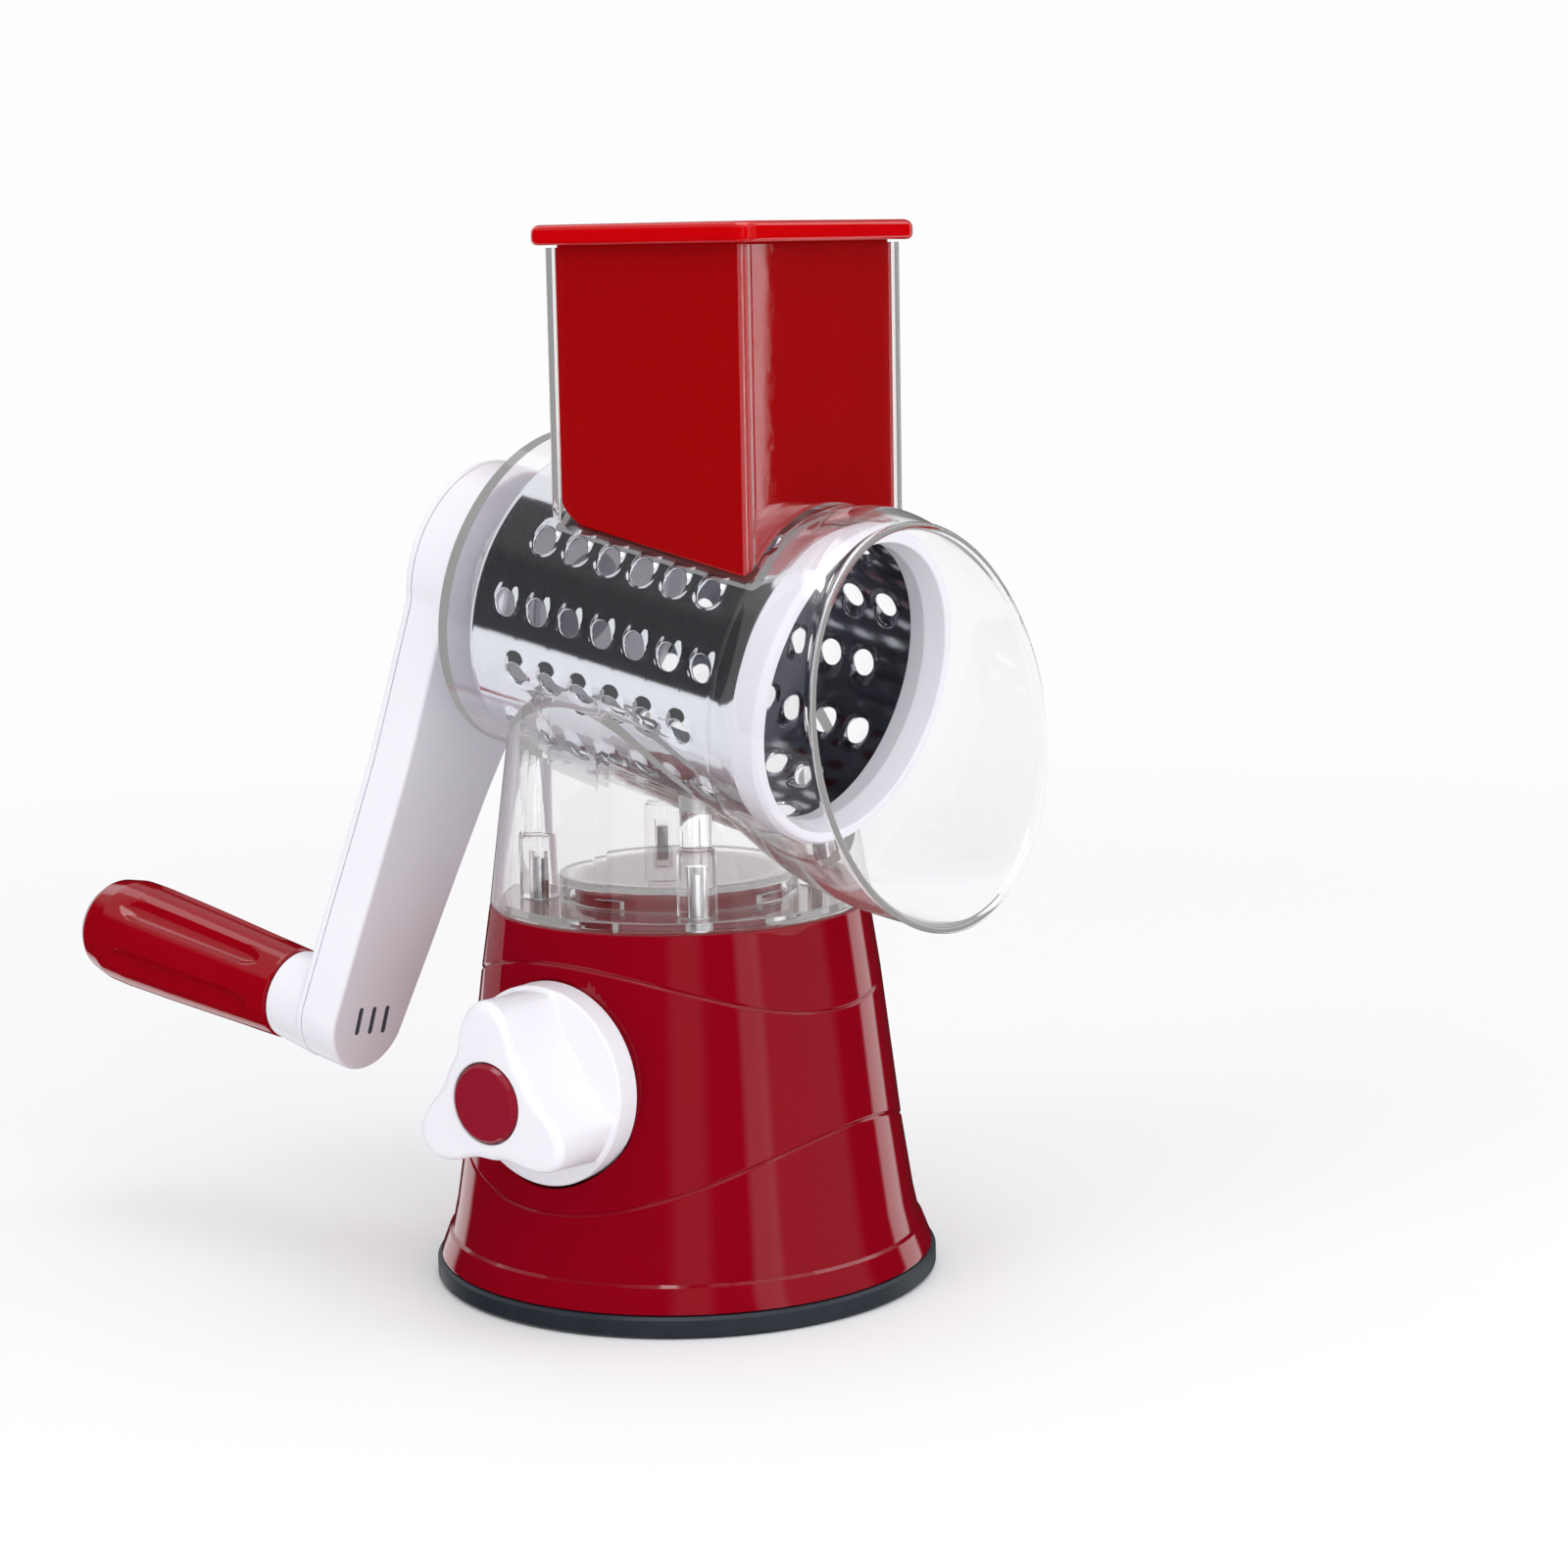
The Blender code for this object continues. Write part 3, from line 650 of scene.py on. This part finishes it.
def make_neck_plate():
    profile = [(0, 105.5), (30.7, 105.5, 0.6), (30.7, 99.4, 0.6), (45.8, 99.4, 0.3), (46.0, 97.4),
               (28.7, 97.4, 0.2), (28.7, 103.6, 0.4), (0, 103.6)]
    plate = turned("neck_plate_clear", profile, sides=160)
    for number in range(4):
        join(plate, block("tab", (26.9, 29.5), (-4, 4), (98.0, 101.2), turned_about("Z", 90 * number)))
    for x, y in diagonal_places(POST_RADIUS):
        cut(plate, cylinder("screw_hole", 1.8, 95, 102, moved(x, y, 0), sides=24))
        cut(plate, cylinder("screw_recess", 3.2, 95, 98.7, moved(x, y, 0), sides=24))
    finish_piece(plate, CLEAR, "housing", "clear_plastic", "neck_plate")


def make_bush():
    profile = [(20.4, -37.7, 0.3), (20.4, -39.5, 0.3), (17.25, -39.5), (17.25, -51.6, 0.3),
               (15.25, -51.6, 0.3), (15.25, -37.7, 0.3)]
    bush = turned("bush", profile, DRUM, sides=96)
    finish_piece(bush, WHITE, "housing", "white_plastic", "hub_bush")


def lower_rear_corner(radius):
    """What the round at the pusher's lower rear corner takes away, over the pusher's whole width."""
    corner = block("rear_corner", (-ROUND_UP, 0), (-40, 40), (ROUND_ALONG - 20, ROUND_ALONG), DRUM)
    round_place = DRUM @ moved(-ROUND_UP, 0, ROUND_ALONG) @ turned_about("X", 90)
    return cut(corner, cylinder("rear_round", radius, -50, 50, round_place, sides=96))


def pusher_outline(inset, corner):
    half_x = CHUTE_HALF_X - PUSHER_GAP - inset
    half_y = CHUTE_HALF_Y - PUSHER_GAP - inset
    return rounded_rectangle(half_x, half_y, corner, CHUTE_CENTRE)


def pusher_hollow():
    """The pusher's open inside, whose floor follows the curved underside."""
    hollow = rounded_prism("pusher_hollow", lambda inset: pusher_outline(PUSHER_WALL + inset, 1.0),
                           165, 275, 0.5, 0.5)
    floor_radius = DRUM_RADIUS + PUSHER_CLEARANCE + PUSHER_WALL
    cut(hollow, cylinder("pusher_floor", floor_radius, -90, 90, DRUM, sides=180))
    return cut(hollow, lower_rear_corner(PUSHER_ROUND - PUSHER_WALL))


def flange_outline(inset):
    overhang = 2.9 - inset
    half_x, half_y = CHUTE_HALF_X + overhang, CHUTE_HALF_Y + overhang
    return rounded_rectangle(half_x, half_y, 4.5 - inset * 0.6, CHUTE_CENTRE)


def make_pusher():
    pusher = prism("pusher_block", pusher_outline(0, 1.6), 172, 266)
    join(pusher, rounded_prism("pusher_flange", flange_outline, FLANGE_LOW, 268.5, 1.4, 2.0, steps=5))
    cut(pusher, cylinder("pusher_sweep", DRUM_RADIUS + PUSHER_CLEARANCE, -90, 90, DRUM, sides=180))
    cut(pusher, lower_rear_corner(PUSHER_ROUND))
    cut(pusher, pusher_hollow())
    finish_piece(pusher, PUSHER_RED, "pusher", "red_plastic", "pusher")
    # Painted light: the flange gets a lighter copy of the pusher's red, as if lit more than its walls.
    pusher.data.materials.append(FLANGE_LIT_RED)
    for polygon in pusher.data.polygons:
        if polygon.center.z > (FLANGE_LOW - 0.2) * MM:
            polygon.material_index = 1


# ---------------------------------------------------------------- drum

# A hood over a hole and the lip below it, measured up the hood from the hole's centre.
HOOD_START = -1.0
HOOD_WIDEST = 0.3
HOOD_CREST = 1.6
HOOD_LENGTH = 6.8
HOOD_HALF_WIDTH = 4.1
HOOD_HEIGHT = 1.1
LIP_TOP = 0.8
LIP_FADE = 2.6
LIP_WIDTH = 1.6
LIP_DEPTH = 0.4


def eased(share):
    """0 to 1 with no corner at either end."""
    share = min(1.0, max(0.0, share))
    return share * share * (3 - 2 * share)


def punched_height(u, v):
    """Rise of the sheet at u along the drum and v up the hood from a hole's centre."""
    rise = 0.0
    if HOOD_START < v < HOOD_LENGTH:
        narrowing = max(0.0, v - HOOD_WIDEST) / (HOOD_LENGTH - 0.1)
        half_width = HOOD_HALF_WIDTH * math.sqrt(1 - narrowing ** 2)
        across = max(0.0, 1 - (u / half_width) ** 2)
        along = eased((HOOD_LENGTH - v) / (HOOD_LENGTH - HOOD_CREST))
        along *= eased((v - HOOD_START) / (HOOD_CREST - HOOD_START))
        rise = HOOD_HEIGHT * eased(across) * along
    reach = (math.hypot(u, v) - HOLE_RADIUS) / LIP_WIDTH
    if v < LIP_TOP and abs(reach) < 1:
        below = min(1.0, (LIP_TOP - v) / LIP_FADE)
        rise -= LIP_DEPTH * below * (1 - reach ** 2) ** 2
    return rise


class Sheet:
    """The drum's sheet as points on an unrolled plane, rolled up when the mesh is made."""

    def __init__(self):
        self.points = []
        self.faces = []
        self.known = {}

    def point(self, along, around, rise=0.0):
        key = (round(along, 3), round(around % (2 * math.pi * DRUM_RADIUS), 3))
        if key[1] == round(2 * math.pi * DRUM_RADIUS, 3):
            key = (key[0], 0.0)
        if key not in self.known:
            self.known[key] = len(self.points)
            angle = around / DRUM_RADIUS
            radius = DRUM_RADIUS + rise
            self.points.append((radius * math.cos(angle), radius * math.sin(angle), along))
        return self.known[key]


ROW_ARC = 2 * math.pi * DRUM_RADIUS / HOLE_ROWS
CELL_STEPS = 8
ROW_STEPS = 14


def plain_strip(sheet, centre, places):
    """Quads across one row's width between successive places along the drum."""
    for left, right in zip(places, places[1:]):
        for step in range(ROW_STEPS):
            low = centre - ROW_ARC / 2 + ROW_ARC * step / ROW_STEPS
            high = centre - ROW_ARC / 2 + ROW_ARC * (step + 1) / ROW_STEPS
            sheet.faces.append((sheet.point(left, low), sheet.point(right, low),
                                sheet.point(right, high), sheet.point(left, high)))


def cell_border():
    """Corners of the square of sheet round a hole, anticlockwise, as (along, up the hood)."""
    half_u, half_v = HOLE_PITCH / 2, ROW_ARC / 2
    border = [(half_u, -half_v + ROW_ARC * i / ROW_STEPS) for i in range(ROW_STEPS)]
    border += [(half_u - HOLE_PITCH * i / CELL_STEPS, half_v) for i in range(CELL_STEPS)]
    border += [(-half_u, half_v - ROW_ARC * i / ROW_STEPS) for i in range(ROW_STEPS)]
    border += [(-half_u + HOLE_PITCH * i / CELL_STEPS, -half_v) for i in range(CELL_STEPS)]
    return border


def hole_cell(sheet, centre, place):
    """The sheet round one hole: rings that spread from its edge to the cell's border."""
    shares = [0.0, 0.04, 0.09, 0.16, 0.24, 0.33, 0.43, 0.54, 0.66, 0.8, 1.0]
    rings = []
    for share in shares:
        ring = []
        for u, v in cell_border():
            angle = math.atan2(v / 1.25, u)
            hole_u, hole_v = HOLE_RADIUS * math.cos(angle), HOLE_RADIUS * 1.06 * math.sin(angle)
            here_u, here_v = hole_u + (u - hole_u) * share, hole_v + (v - hole_v) * share
            rise = 0.0 if share == 1.0 else punched_height(here_u, here_v)
            ring.append(sheet.point(place + here_u, centre - here_v, rise))
        rings.append(ring)
    count = len(rings[0])
    for inner, outer in zip(rings, rings[1:]):
        for side in range(count):
            after = (side + 1) % count
            sheet.faces.append((inner[side], inner[after], outer[after], outer[side]))


def make_sleeve():
    """The sheet with rows of seven and six hooded holes by turns, and plain strips at its ends."""
    sheet = Sheet()
    first, last = HOLE_CENTRE - 3.5 * HOLE_PITCH, HOLE_CENTRE + 3.5 * HOLE_PITCH
    step = HOLE_PITCH / CELL_STEPS
    rear = [DRUM_REAR, DRUM_REAR + 1.2, DRUM_REAR + 2.8, first]
    front = [last, last + 2, last + 4.2, DRUM_FRONT]
    half_cell = [i * step for i in range(CELL_STEPS // 2 + 1)]
    for row in range(HOLE_ROWS):
        centre = (2 * row + 0.5) * ROW_ARC / 2
        plain_strip(sheet, centre, rear)
        plain_strip(sheet, centre, front)
        count = 7 if row % 2 == 0 else 6
        if count == 6:
            plain_strip(sheet, centre, [first + x for x in half_cell])
            plain_strip(sheet, centre, [last - HOLE_PITCH / 2 + x for x in half_cell])
        for hole in range(count):
            hole_cell(sheet, centre, HOLE_CENTRE + (hole - (count - 1) / 2) * HOLE_PITCH)
    sleeve = new_object("drum_sheet", sheet.points, sheet.faces, DRUM)
    orient_outward(sleeve, DRUM)
    thick = sleeve.modifiers.new("Sheet thickness", "SOLIDIFY")
    thick.thickness = 0.7 * MM
    thick.offset = -1.0
    # The inner side takes the second material, the steel with painted shade.
    thick.material_offset = 1
    finish_piece(sleeve, STEEL, "drum", "mirror_steel", "drum_sleeve")
    sleeve.data.materials.append(SHADED_INNER_STEEL)


def orient_outward(obj, place):
    """Turns every face to look away from the local Z axis of place."""
    mesh = obj.data
    inverse = place.inverted()
    polygon = mesh.polygons[0]
    centre = inverse @ polygon.center
    normal = inverse.to_3x3() @ polygon.normal
    if centre.x * normal.x + centre.y * normal.y < 0:
        mesh.flip_normals()


def make_front_ring():
    profile = [(39.4, 58.6, 0.7), (40.4, 57.4, 0.8), (40.4, 51.0, 0.5), (DRUM_SEAT, 51.0),
               (DRUM_SEAT, 48.2), (36.0, 48.2, 0.4), (35.4, 53.0, 1.5), (37.0, 58.6, 0.6)]
    ring = turned("front_ring", profile, DRUM)
    finish_piece(ring, WHITE, "drum", "white_plastic", "drum_front_ring")


def make_rear_disc():
    lip = DRUM_SEAT - 2.2
    profile = [(DRUM_SEAT, -25.0), (DRUM_SEAT, -32.6, 0.5), (16.8, -32.6), (16.8, -37.3, 0.3),
               (15.15, -37.3), (15.15, -30.2), (lip, -30.2, 1.2), (lip, -25.0, 0.6)]
    disc = turned("rear_disc", profile, DRUM)
    finish_piece(disc, WHITE, "drum", "white_plastic", "drum_rear_disc")


def make_drum_hub():
    inner = HUB_RADIUS - 2.0
    profile = [(18.5, -28.0, 0.4), (18.5, -29.9), (HUB_RADIUS, -29.9), (HUB_RADIUS, HUB_END, 0.6),
               (inner, HUB_END), (inner, -28.0, 0.4)]
    hub = turned("hub", profile, DRUM, sides=96)
    cut(hub, block("hub_drive_slot", (-20, 20), (-2, 2), (HUB_END - 1, HUB_END + 7), CRANK))
    cut(hub, block("hub_latch_window", (-2.6, 2.6), (0, 20), (-50.2, -48.0), CRANK))
    finish_piece(hub, WHITE, "drum", "white_plastic", "drum_hub")


# ---------------------------------------------------------------- crank and grip

def arm_outline(inset):
    """The arm's face: a round head on the drum's axis, narrowing to a round end at the grip."""
    head, end, end_place = 28.0 - inset, 14.2 - inset, ARM_LENGTH - 1.0
    flank = [(48, 19.2), (58, 18.0), (80, 16.6), (100, 15.6)]
    points = [(x, inset - half) for x, half in flank]
    for step in range(21):
        angle = math.radians(-80 + 8 * step)
        points.append((end_place + end * math.cos(angle), end * math.sin(angle)))
    points += [(x, half - inset) for x, half in reversed(flank)]
    for step in range(49):
        angle = math.radians(58 + 244 * step / 48)
        points.append((head * math.cos(angle), head * math.sin(angle)))
    return points


def shade_slots(arm):
    """Paints shade on the walls of the arm's three slots: a darker material than its face."""
    arm.data.materials.append(SLOT_SHADE)
    inverse = CRANK.inverted()
    reach, deepest, shallowest = 9.5, ARM_FRONT - 2.3, ARM_FRONT - 0.3
    for polygon in arm.data.polygons:
        centre = inverse @ polygon.center / MM
        if math.hypot(centre.x - ARM_LENGTH, centre.y) < reach and deepest < centre.z < shallowest:
            polygon.material_index = 1


def make_arm():
    arm = rounded_prism("arm", arm_outline, ARM_REAR + 2.3, ARM_FRONT, 0.25, 1.1, CRANK)
    hollow = prism("arm_hollow", arm_outline(2.4), ARM_REAR, ARM_FRONT - 2.4, CRANK)
    cut(hollow, cylinder("socket_wall", 17.6, ARM_REAR + 3, ARM_FRONT + 5, CRANK))
    cut(hollow, cylinder("spindle_boss", 6.5, -15, 20, GRIP, sides=32))
    cut(arm, hollow)
    cut(arm, cylinder("socket", HUB_RADIUS + 0.35, ARM_REAR - 5, ARM_FRONT + 5, CRANK, sides=96))
    cut(arm, cylinder("spindle_seat", 3.3, -3.5, 20, GRIP, sides=32))
    outline = rounded([(-3.8, -0.8, 0.75), (3.8, -0.8, 0.75), (3.8, 0.8, 0.75), (-3.8, 0.8, 0.75)],
                      closed=True)
    for number in range(3):
        slot = CRANK @ moved(ARM_LENGTH - 0.8 * number, 5.1 * number - 4.3, 0) @ turned_about("Z", 10)
        cut(arm, prism("arm_slot", outline, ARM_FRONT - 2.7, ARM_FRONT + 3.2, slot))
    finish_piece(arm, WHITE, "crank", "white_plastic", "crank_arm")
    shade_slots(arm)


def make_cover():
    cover = rounded_prism("cover", arm_outline, ARM_REAR, ARM_REAR + 2.0, 0.9, 0.25, CRANK)
    join(cover, cylinder("drive_core", HUB_RADIUS - 2.4, ARM_REAR + 1, -57.5, CRANK))
    join(cover, block("drive_dog", (-14.3, 14.3), (-1.7, 1.7), (ARM_REAR + 1, -57.5), CRANK))
    collar = [(0, 19.6), (12.0, 19.6, 0.7), (13.2, 5.5), (0, 5.5)]
    join(cover, turned("grip_collar", collar, GRIP, sides=96))
    cut(cover, cylinder("collar_bore", 3.35, 0, 25, GRIP, sides=32))
    finish_piece(cover, WHITE, "crank", "white_plastic", "arm_cover")


def flute_depth(angle, z):
    """Depth of the six shallow flutes along the grip, with round ends."""
    start, end, round_end = 27.0, 77.0, 6
    half_width, depth, grip_radius = 3.4, 1.7, 14
    if not start < z < end:
        return 0.0
    ends = min(1.0, (z - start) / round_end, (end - z) / round_end)
    ends = math.sqrt(1 - (1 - ends) ** 2)
    nearest = (math.degrees(angle) + 30) % 60 - 30
    across = abs(math.radians(nearest)) * grip_radius / (half_width * ends + 0.01)
    return depth * ends * (1 - across ** 2) if across < 1 else 0.0


def grip_path():
    """The grip's section: its outside in steps short enough for the flutes, and its bore."""
    outer = rounded([(11.2, 90.6), (12.9, 88.6, 4), (14.4, 82.0, 8), (14.5, 74, 20), (14.0, 58, 30),
                     (12.4, 20.6, 0.5), (11.9, 20.0)], steps=6)
    longest = 1.2
    path = [(9.95, 91.0)]
    for (r0, z0), (r1, z1) in zip(outer, outer[1:]):
        pieces = max(1, round(abs(z1 - z0) / longest))
        path += [(r0 + (r1 - r0) * i / pieces, z0 + (z1 - z0) * i / pieces) for i in range(pieces)]
    return path + [outer[-1], (3.45, 20.0), (3.45, 84.6), (9.95, 84.6)]


def make_grip():
    sides = 180
    rings = []
    for radius, z in reversed(grip_path()):
        ring = []
        for side in range(sides):
            angle = 2 * math.pi * side / sides
            here = radius - flute_depth(angle, z) if radius > 11 else radius
            ring.append((here * math.cos(angle), here * math.sin(angle), z))
        rings.append(ring)
    grip = lofted("grip_handle", rings, GRIP, closed=True)
    finish_piece(grip, GRIP_RED, "grip", "red_plastic", "grip")


def make_grip_plug():
    profile = [(0, 92.4), (5.5, 92.2, 6), (9.6, 91.0, 0.6), (9.6, 87.6), (0, 87.6)]
    plug = turned("grip_end", profile, GRIP, sides=96)
    finish_piece(plug, GRIP_RED, "grip", "red_plastic", "grip_plug")


def make_return_spring():
    """A wire coil round the stem."""
    turns, coil_radius, wire = 5, 6.9, 0.6
    low, high = 22.0, 37.2
    per_turn, sides = 32, 10
    rings = []
    for step in range(turns * per_turn + 1):
        angle = 2 * math.pi * step / per_turn
        height = low + (high - low) * step / (turns * per_turn)
        ring = []
        for side in range(sides):
            turn = -2 * math.pi * side / sides
            reach = coil_radius + wire * math.cos(turn)
            ring.append((reach * math.cos(angle), reach * math.sin(angle), height + wire * math.sin(turn)))
        rings.append(ring)
    spring = lofted("spring_coil", rings)
    finish_piece(spring, SCREW_STEEL, "stem", "plain_steel", "return_spring")
    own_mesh(spring)


def repaint_inner_parts():
    steel_nodes = ["cam_shaft", "knob_screw", "grip_spindle", "spindle_screw"]
    steel_nodes += [f"{kind}_screw_{number}" for kind in ("plate", "neck") for number in (1, 2, 3, 4)]
    for node in steel_nodes:
        repaint(node, SCREW_STEEL)
    for node in ("pad_plate", "cam_frame", "lift_stem"):
        repaint(node, WHITE)


# ---------------------------------------------------------------- stage
#
# The object stands on a pale floor in even light. What a shiny face shows depends on the ray: in
# the open it shows a dim studio with upright panels, and behind the clear plastic it shows a bright
# studio with dark sides.

# Upright panels: compass direction, half width, half width of the soft edge and brightness.
OPEN_PANELS = [(-13, 7.0, 2.5, 0.66), (16, 25, 5.0, 0.26), (-50, 9, 4.0, 0.24), (76, 9, 2.0, 1.5),
               (160, 12, 3.0, 1.2)]
OPEN_DIM = 0.012
BEHIND_PANELS = [(-127, 32, 0.4, -0.975), (58.5, 5, 0.1, -0.975), (50, 3.5, 0.06, 0.9),
                 (-38, 4, 1.0, 5.0)]
BEHIND_BRIGHT = 1.0

# Heights here are the upward part of a ray's direction, 0 level and 1 straight up.
# The ceiling that faces in the open show: where each step of it starts and ends, and its brightness.
CEILING_STEPS = [(0.90, 0.95, 3.5), (0.45, 0.60, 0.5)]
# The panels seen behind the plastic stop between these heights.
BEHIND_TOP = (0.92, 0.88)

# Distances from the object in metres.
FLOOR_HALF = 12.0
FLOOR_FADE = (0.30, 1.0)
NEAR_FLOOR = (0.66, 0.74)

BACKDROP = (0.985, 0.985, 0.99, 1.0)
AMBIENT = (0.975, 0.98, 1.0, 1.0)
AMBIENT_LEVEL = 0.84
AMBIENT_SLOPE = (0.22, -0.04, 0.06)


class Stage(Nodes):
    """The parts that the world's and the floor's node trees share."""

    def step(self, value, start, end):
        """0 at start and 1 at end, smooth between."""
        made = self.node("ShaderNodeMapRange", interpolation_type="SMOOTHSTEP")
        self.plug(value, made.inputs["Value"])
        made.inputs["From Min"].default_value = start
        made.inputs["From Max"].default_value = end
        return made.outputs["Result"]

    def parts(self, vector):
        made = self.node("ShaderNodeSeparateXYZ")
        self.plug(vector, made.inputs[0])
        return made.outputs

    def ray(self):
        """Whether the ray was mirrored, and whether it went through the plastic, as 0 or 1."""
        path = self.node("ShaderNodeLightPath").outputs
        depths = [path["Glossy Depth"], path["Transmission Depth"]]
        return [self.math("GREATER_THAN", depth, 0.5) for depth in depths]

    def panels(self, direction, panels, level):
        """Brightness in a direction: a level with upright panels added to it."""
        parts = self.parts(direction)
        heading = self.math("ARCTAN2", parts["Y"], parts["X"])
        for compass, half_width, edge, strength in panels:
            offset = self.math("SUBTRACT", heading, math.radians(compass))
            apart = self.math("ARCCOSINE", self.math("COSINE", offset))
            outer, inner = math.radians(half_width + edge), math.radians(half_width - edge)
            level = self.math("ADD", level, self.math("MULTIPLY", self.step(apart, outer, inner), strength))
        return level


def floor_look():
    """Pale and plain near the object, and the backdrop's colour further off."""
    look = Look("pale_floor")
    look.colour((0.92, 0.92, 0.925), (0.94, 0.94, 0.945), 3)
    look.set(Roughness=0.9, Specular_IOR_Level=0.1)
    stage = Stage(look.tree)
    length = stage.node("ShaderNodeVectorMath", operation="LENGTH")
    stage.plug(look.place, length.inputs[0])
    away = length.outputs["Value"]
    direction = stage.node("ShaderNodeVectorMath", operation="SCALE")
    stage.plug(stage.node("ShaderNodeNewGeometry").outputs["Incoming"], direction.inputs[0])
    direction.inputs["Scale"].default_value = -1.0
    mirrored, through = stage.ray()
    plain = stage.choose(stage.step(away, *FLOOR_FADE), look.shader.outputs[0], stage.glow(BACKDROP))
    open_panels = stage.glow(BACKDROP, stage.panels(direction.outputs[0], OPEN_PANELS, OPEN_DIM))
    behind = stage.glow(BACKDROP, stage.panels(direction.outputs[0], BEHIND_PANELS, BEHIND_BRIGHT))
    behind = stage.choose(stage.step(away, *NEAR_FLOOR), plain, behind)
    shown = stage.choose(mirrored, plain, stage.choose(through, open_panels, behind))
    stage.plug(shown, look.surface)
    return look.material


def make_floor():
    half = FLOOR_HALF / MM
    corners = [(-half, -half, 0), (half, -half, 0), (half, half, 0), (-half, half, 0)]
    floor = new_object("floor", corners, [(0, 1, 2, 3)])
    floor.location.z = -0.05 * MM
    floor.data.materials.append(floor_look())


def make_world():
    """An even studio for plain faces, the backdrop for the camera and panels for mirrors."""
    world = bpy.data.worlds.new("studio")
    bpy.context.scene.world = world
    world.use_nodes = True
    world.cycles.sampling_method = "NONE"
    world.node_tree.nodes.clear()
    stage = Stage(world.node_tree)
    direction = stage.node("ShaderNodeTexCoord").outputs["Generated"]
    parts = stage.parts(direction)
    ambient = AMBIENT_LEVEL
    for axis, slope in zip("XYZ", AMBIENT_SLOPE):
        ambient = stage.math("ADD", ambient, stage.math("MULTIPLY", parts[axis], slope))
    ceiling = 0.0
    for start, end, brightness in CEILING_STEPS:
        lit_part = stage.math("MULTIPLY", stage.step(parts["Z"], start, end), brightness)
        ceiling = stage.math("ADD", ceiling, lit_part)
    mirrored, through = stage.ray()
    open_panels = stage.math("ADD", stage.panels(direction, OPEN_PANELS, OPEN_DIM), ceiling)
    open_glow = stage.glow(BACKDROP, open_panels)
    low = stage.step(parts["Z"], *BEHIND_TOP)
    behind = stage.panels(direction, BEHIND_PANELS, BEHIND_BRIGHT)
    dip = stage.math("MULTIPLY", stage.math("SUBTRACT", behind, BEHIND_BRIGHT), low)
    behind_glow = stage.glow(BACKDROP, stage.math("ADD", dip, BEHIND_BRIGHT))
    shown = stage.choose(mirrored, stage.glow(BACKDROP), stage.choose(through, open_glow, behind_glow))
    lit = stage.math("GREATER_THAN", stage.node("ShaderNodeLightPath").outputs["Diffuse Depth"], 0.5)
    output = stage.node("ShaderNodeOutputWorld")
    stage.plug(stage.choose(lit, shown, stage.glow(AMBIENT, ambient)), output.inputs["Surface"])


def area_light(name, place, target, size, watts):
    """A soft lamp that mirrors and clear plastic don't show."""
    light = bpy.data.lights.new(name, "AREA")
    light.shape = "DISK"
    light.size = size
    light.energy = watts
    obj = bpy.data.objects.new(name, light)
    bpy.context.scene.collection.objects.link(obj)
    obj.location = place
    obj.rotation_euler = (Vector(target) - Vector(place)).to_track_quat("-Z", "Y").to_euler()
    obj.visible_glossy = False
    obj.visible_transmission = False
    obj.visible_camera = False


def make_lights():
    area_light("key", (-0.3, -1.3, 1.2), (0, 0, 0.13), 0.9, 3.6)
    area_light("fill", (1.4, -0.5, 0.9), (0, 0, 0.13), 1.0, 4.0)
    area_light("low", (1.0, -0.9, 0.30), (-0.05, 0, 0.10), 0.6, 1.7)
    area_light("top", (0.1, 0.1, 1.6), (0, 0, 0.1), 1.0, 2.6)


def make_camera():
    data = bpy.data.cameras.new("camera")
    data.sensor_width = 36.0
    data.lens = CAMERA_LENS
    camera = bpy.data.objects.new("camera", data)
    bpy.context.scene.collection.objects.link(camera)
    aim = turned_about("Z", CAMERA_HEADING) @ turned_about("X", 90 - CAMERA_TILT)
    aim = aim @ turned_about("Z", CAMERA_ROLL)
    camera.matrix_world = moved(*CAMERA_PLACE) @ aim
    bpy.context.scene.camera = camera


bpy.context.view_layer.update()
bpy.context.scene.view_settings.view_transform = "Standard"
make_pad()
make_base()
make_knob()
make_knob_cap()
make_clear_body()
make_neck_plate()
make_bush()
make_pusher()
make_sleeve()
make_front_ring()
make_rear_disc()
make_drum_hub()
make_arm()
make_cover()
make_grip()
make_grip_plug()
make_return_spring()
repaint_inner_parts()
make_floor()
make_world()
make_lights()
make_camera()
